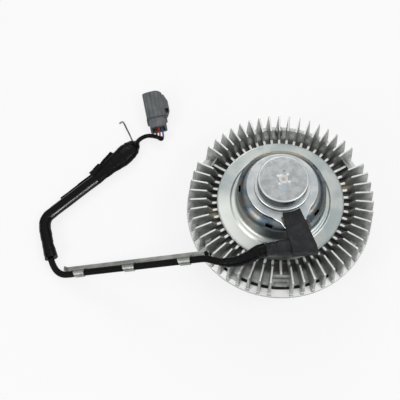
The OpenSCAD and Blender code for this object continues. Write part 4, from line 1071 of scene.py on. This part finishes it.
# The other CAD nodes keep their own shape and take a finish
for name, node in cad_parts.items():
    if not node.hide_render:
        for place in node.material_slots:
            place.material = FINISHES.get(slot_of(name), FINISHES["turned_steel"])


# The studio

def white_floor():
    """A plain white table, which glows a little to the camera and in what shines."""
    bm = bmesh.new()
    bmesh.ops.create_grid(bm, x_segments=1, y_segments=1, size=6)
    mesh = bpy.data.meshes.new("studio_floor")
    bm.to_mesh(mesh)
    bm.free()
    floor = placed("studio_floor", mesh)
    material = bpy.data.materials.new("white_table")
    material.use_nodes = True
    board = Board(material.node_tree)
    rays = board.node("ShaderNodeLightPath", out="Is Camera Ray")
    glossy = board.node("ShaderNodeLightPath", out="Is Glossy Ray")
    dull = board.node("ShaderNodeBsdfDiffuse", None, {"Color": (0.93, 0.93, 0.93, 1)})
    lit = board.node("ShaderNodeEmission", None, {"Color": (1, 1, 1, 1), "Strength": 1.0})
    share = (rays + glossy) * 0.8
    mixed = board.node("ShaderNodeMixShader", None, {0: share, 1: dull, 2: lit})
    board.node("ShaderNodeOutputMaterial", None, {"Surface": mixed})
    mesh.materials.append(material)


def white_walls():
    """White walls all round, which give less light than they look."""
    world = bpy.data.worlds.new("studio_walls")
    world.use_nodes = True
    bpy.context.scene.world = world
    board = Board(world.node_tree)
    seen = board.node("ShaderNodeLightPath", out="Is Camera Ray")
    for kind in ("Glossy", "Transmission"):
        seen = seen + board.node("ShaderNodeLightPath", out=f"Is {kind} Ray")
    walls = board.node("ShaderNodeBackground", None, {"Color": (1, 1, 1, 1), "Strength": 0.45 + seen * 0.55})
    board.node("ShaderNodeOutputWorld", None, {"Surface": walls})


def dark_band():
    """A low dark band round the table, seen only in what shines."""
    shade = bpy.data.materials.new("dark_cloth")
    shade.use_nodes = True
    board = Board(shade.node_tree)
    surface = board.node("ShaderNodeEmission", None, {"Color": (0.6, 0.8, 1, 1), "Strength": 0.05})
    board.node("ShaderNodeOutputMaterial", None, {"Surface": surface})
    bm = bmesh.new()
    tall = 0.85
    bmesh.ops.create_cone(bm, cap_ends=False, segments=48, radius1=1.7, radius2=1.8, depth=tall)
    bmesh.ops.translate(bm, vec=(0, 0, tall / 2), verts=bm.verts)
    mesh = bpy.data.meshes.new("dark_band")
    bm.to_mesh(mesh)
    bm.free()
    mesh.materials.append(shade)
    band = placed("dark_band", mesh)
    band.visible_camera = band.visible_diffuse = band.visible_shadow = band.visible_transmission = False


def lamps():
    """Four soft lamps; the front one gives highlights only."""
    for name, place, size, power in (
        ("lamp_left", (-1.2, -0.8, 0.9), (0.6, 0.5), 6),
        ("lamp_right", (0.9, -0.3, 1.3), (0.7, 0.5), 6),
        ("lamp_behind", (-0.2, 1.3, 1.1), (0.9, 0.5), 5),
        ("lamp_front", (0.754, -0.88, 0.4), (0.5, 0.12), 1.6),
    ):
        lamp = bpy.data.lights.new(name, "AREA")
        lamp.shape, lamp.size, lamp.size_y, lamp.energy = "RECTANGLE", size[0], size[1], power
        held = placed(name, lamp)
        held.location = place
        held.visible_diffuse = name != "lamp_front"
        held.rotation_mode = "QUATERNION"
        held.rotation_quaternion = Vector(place).to_track_quat("Z", "Y")


white_floor()
white_walls()
dark_band()
lamps()
bpy.context.scene.view_settings.view_transform = "Standard"
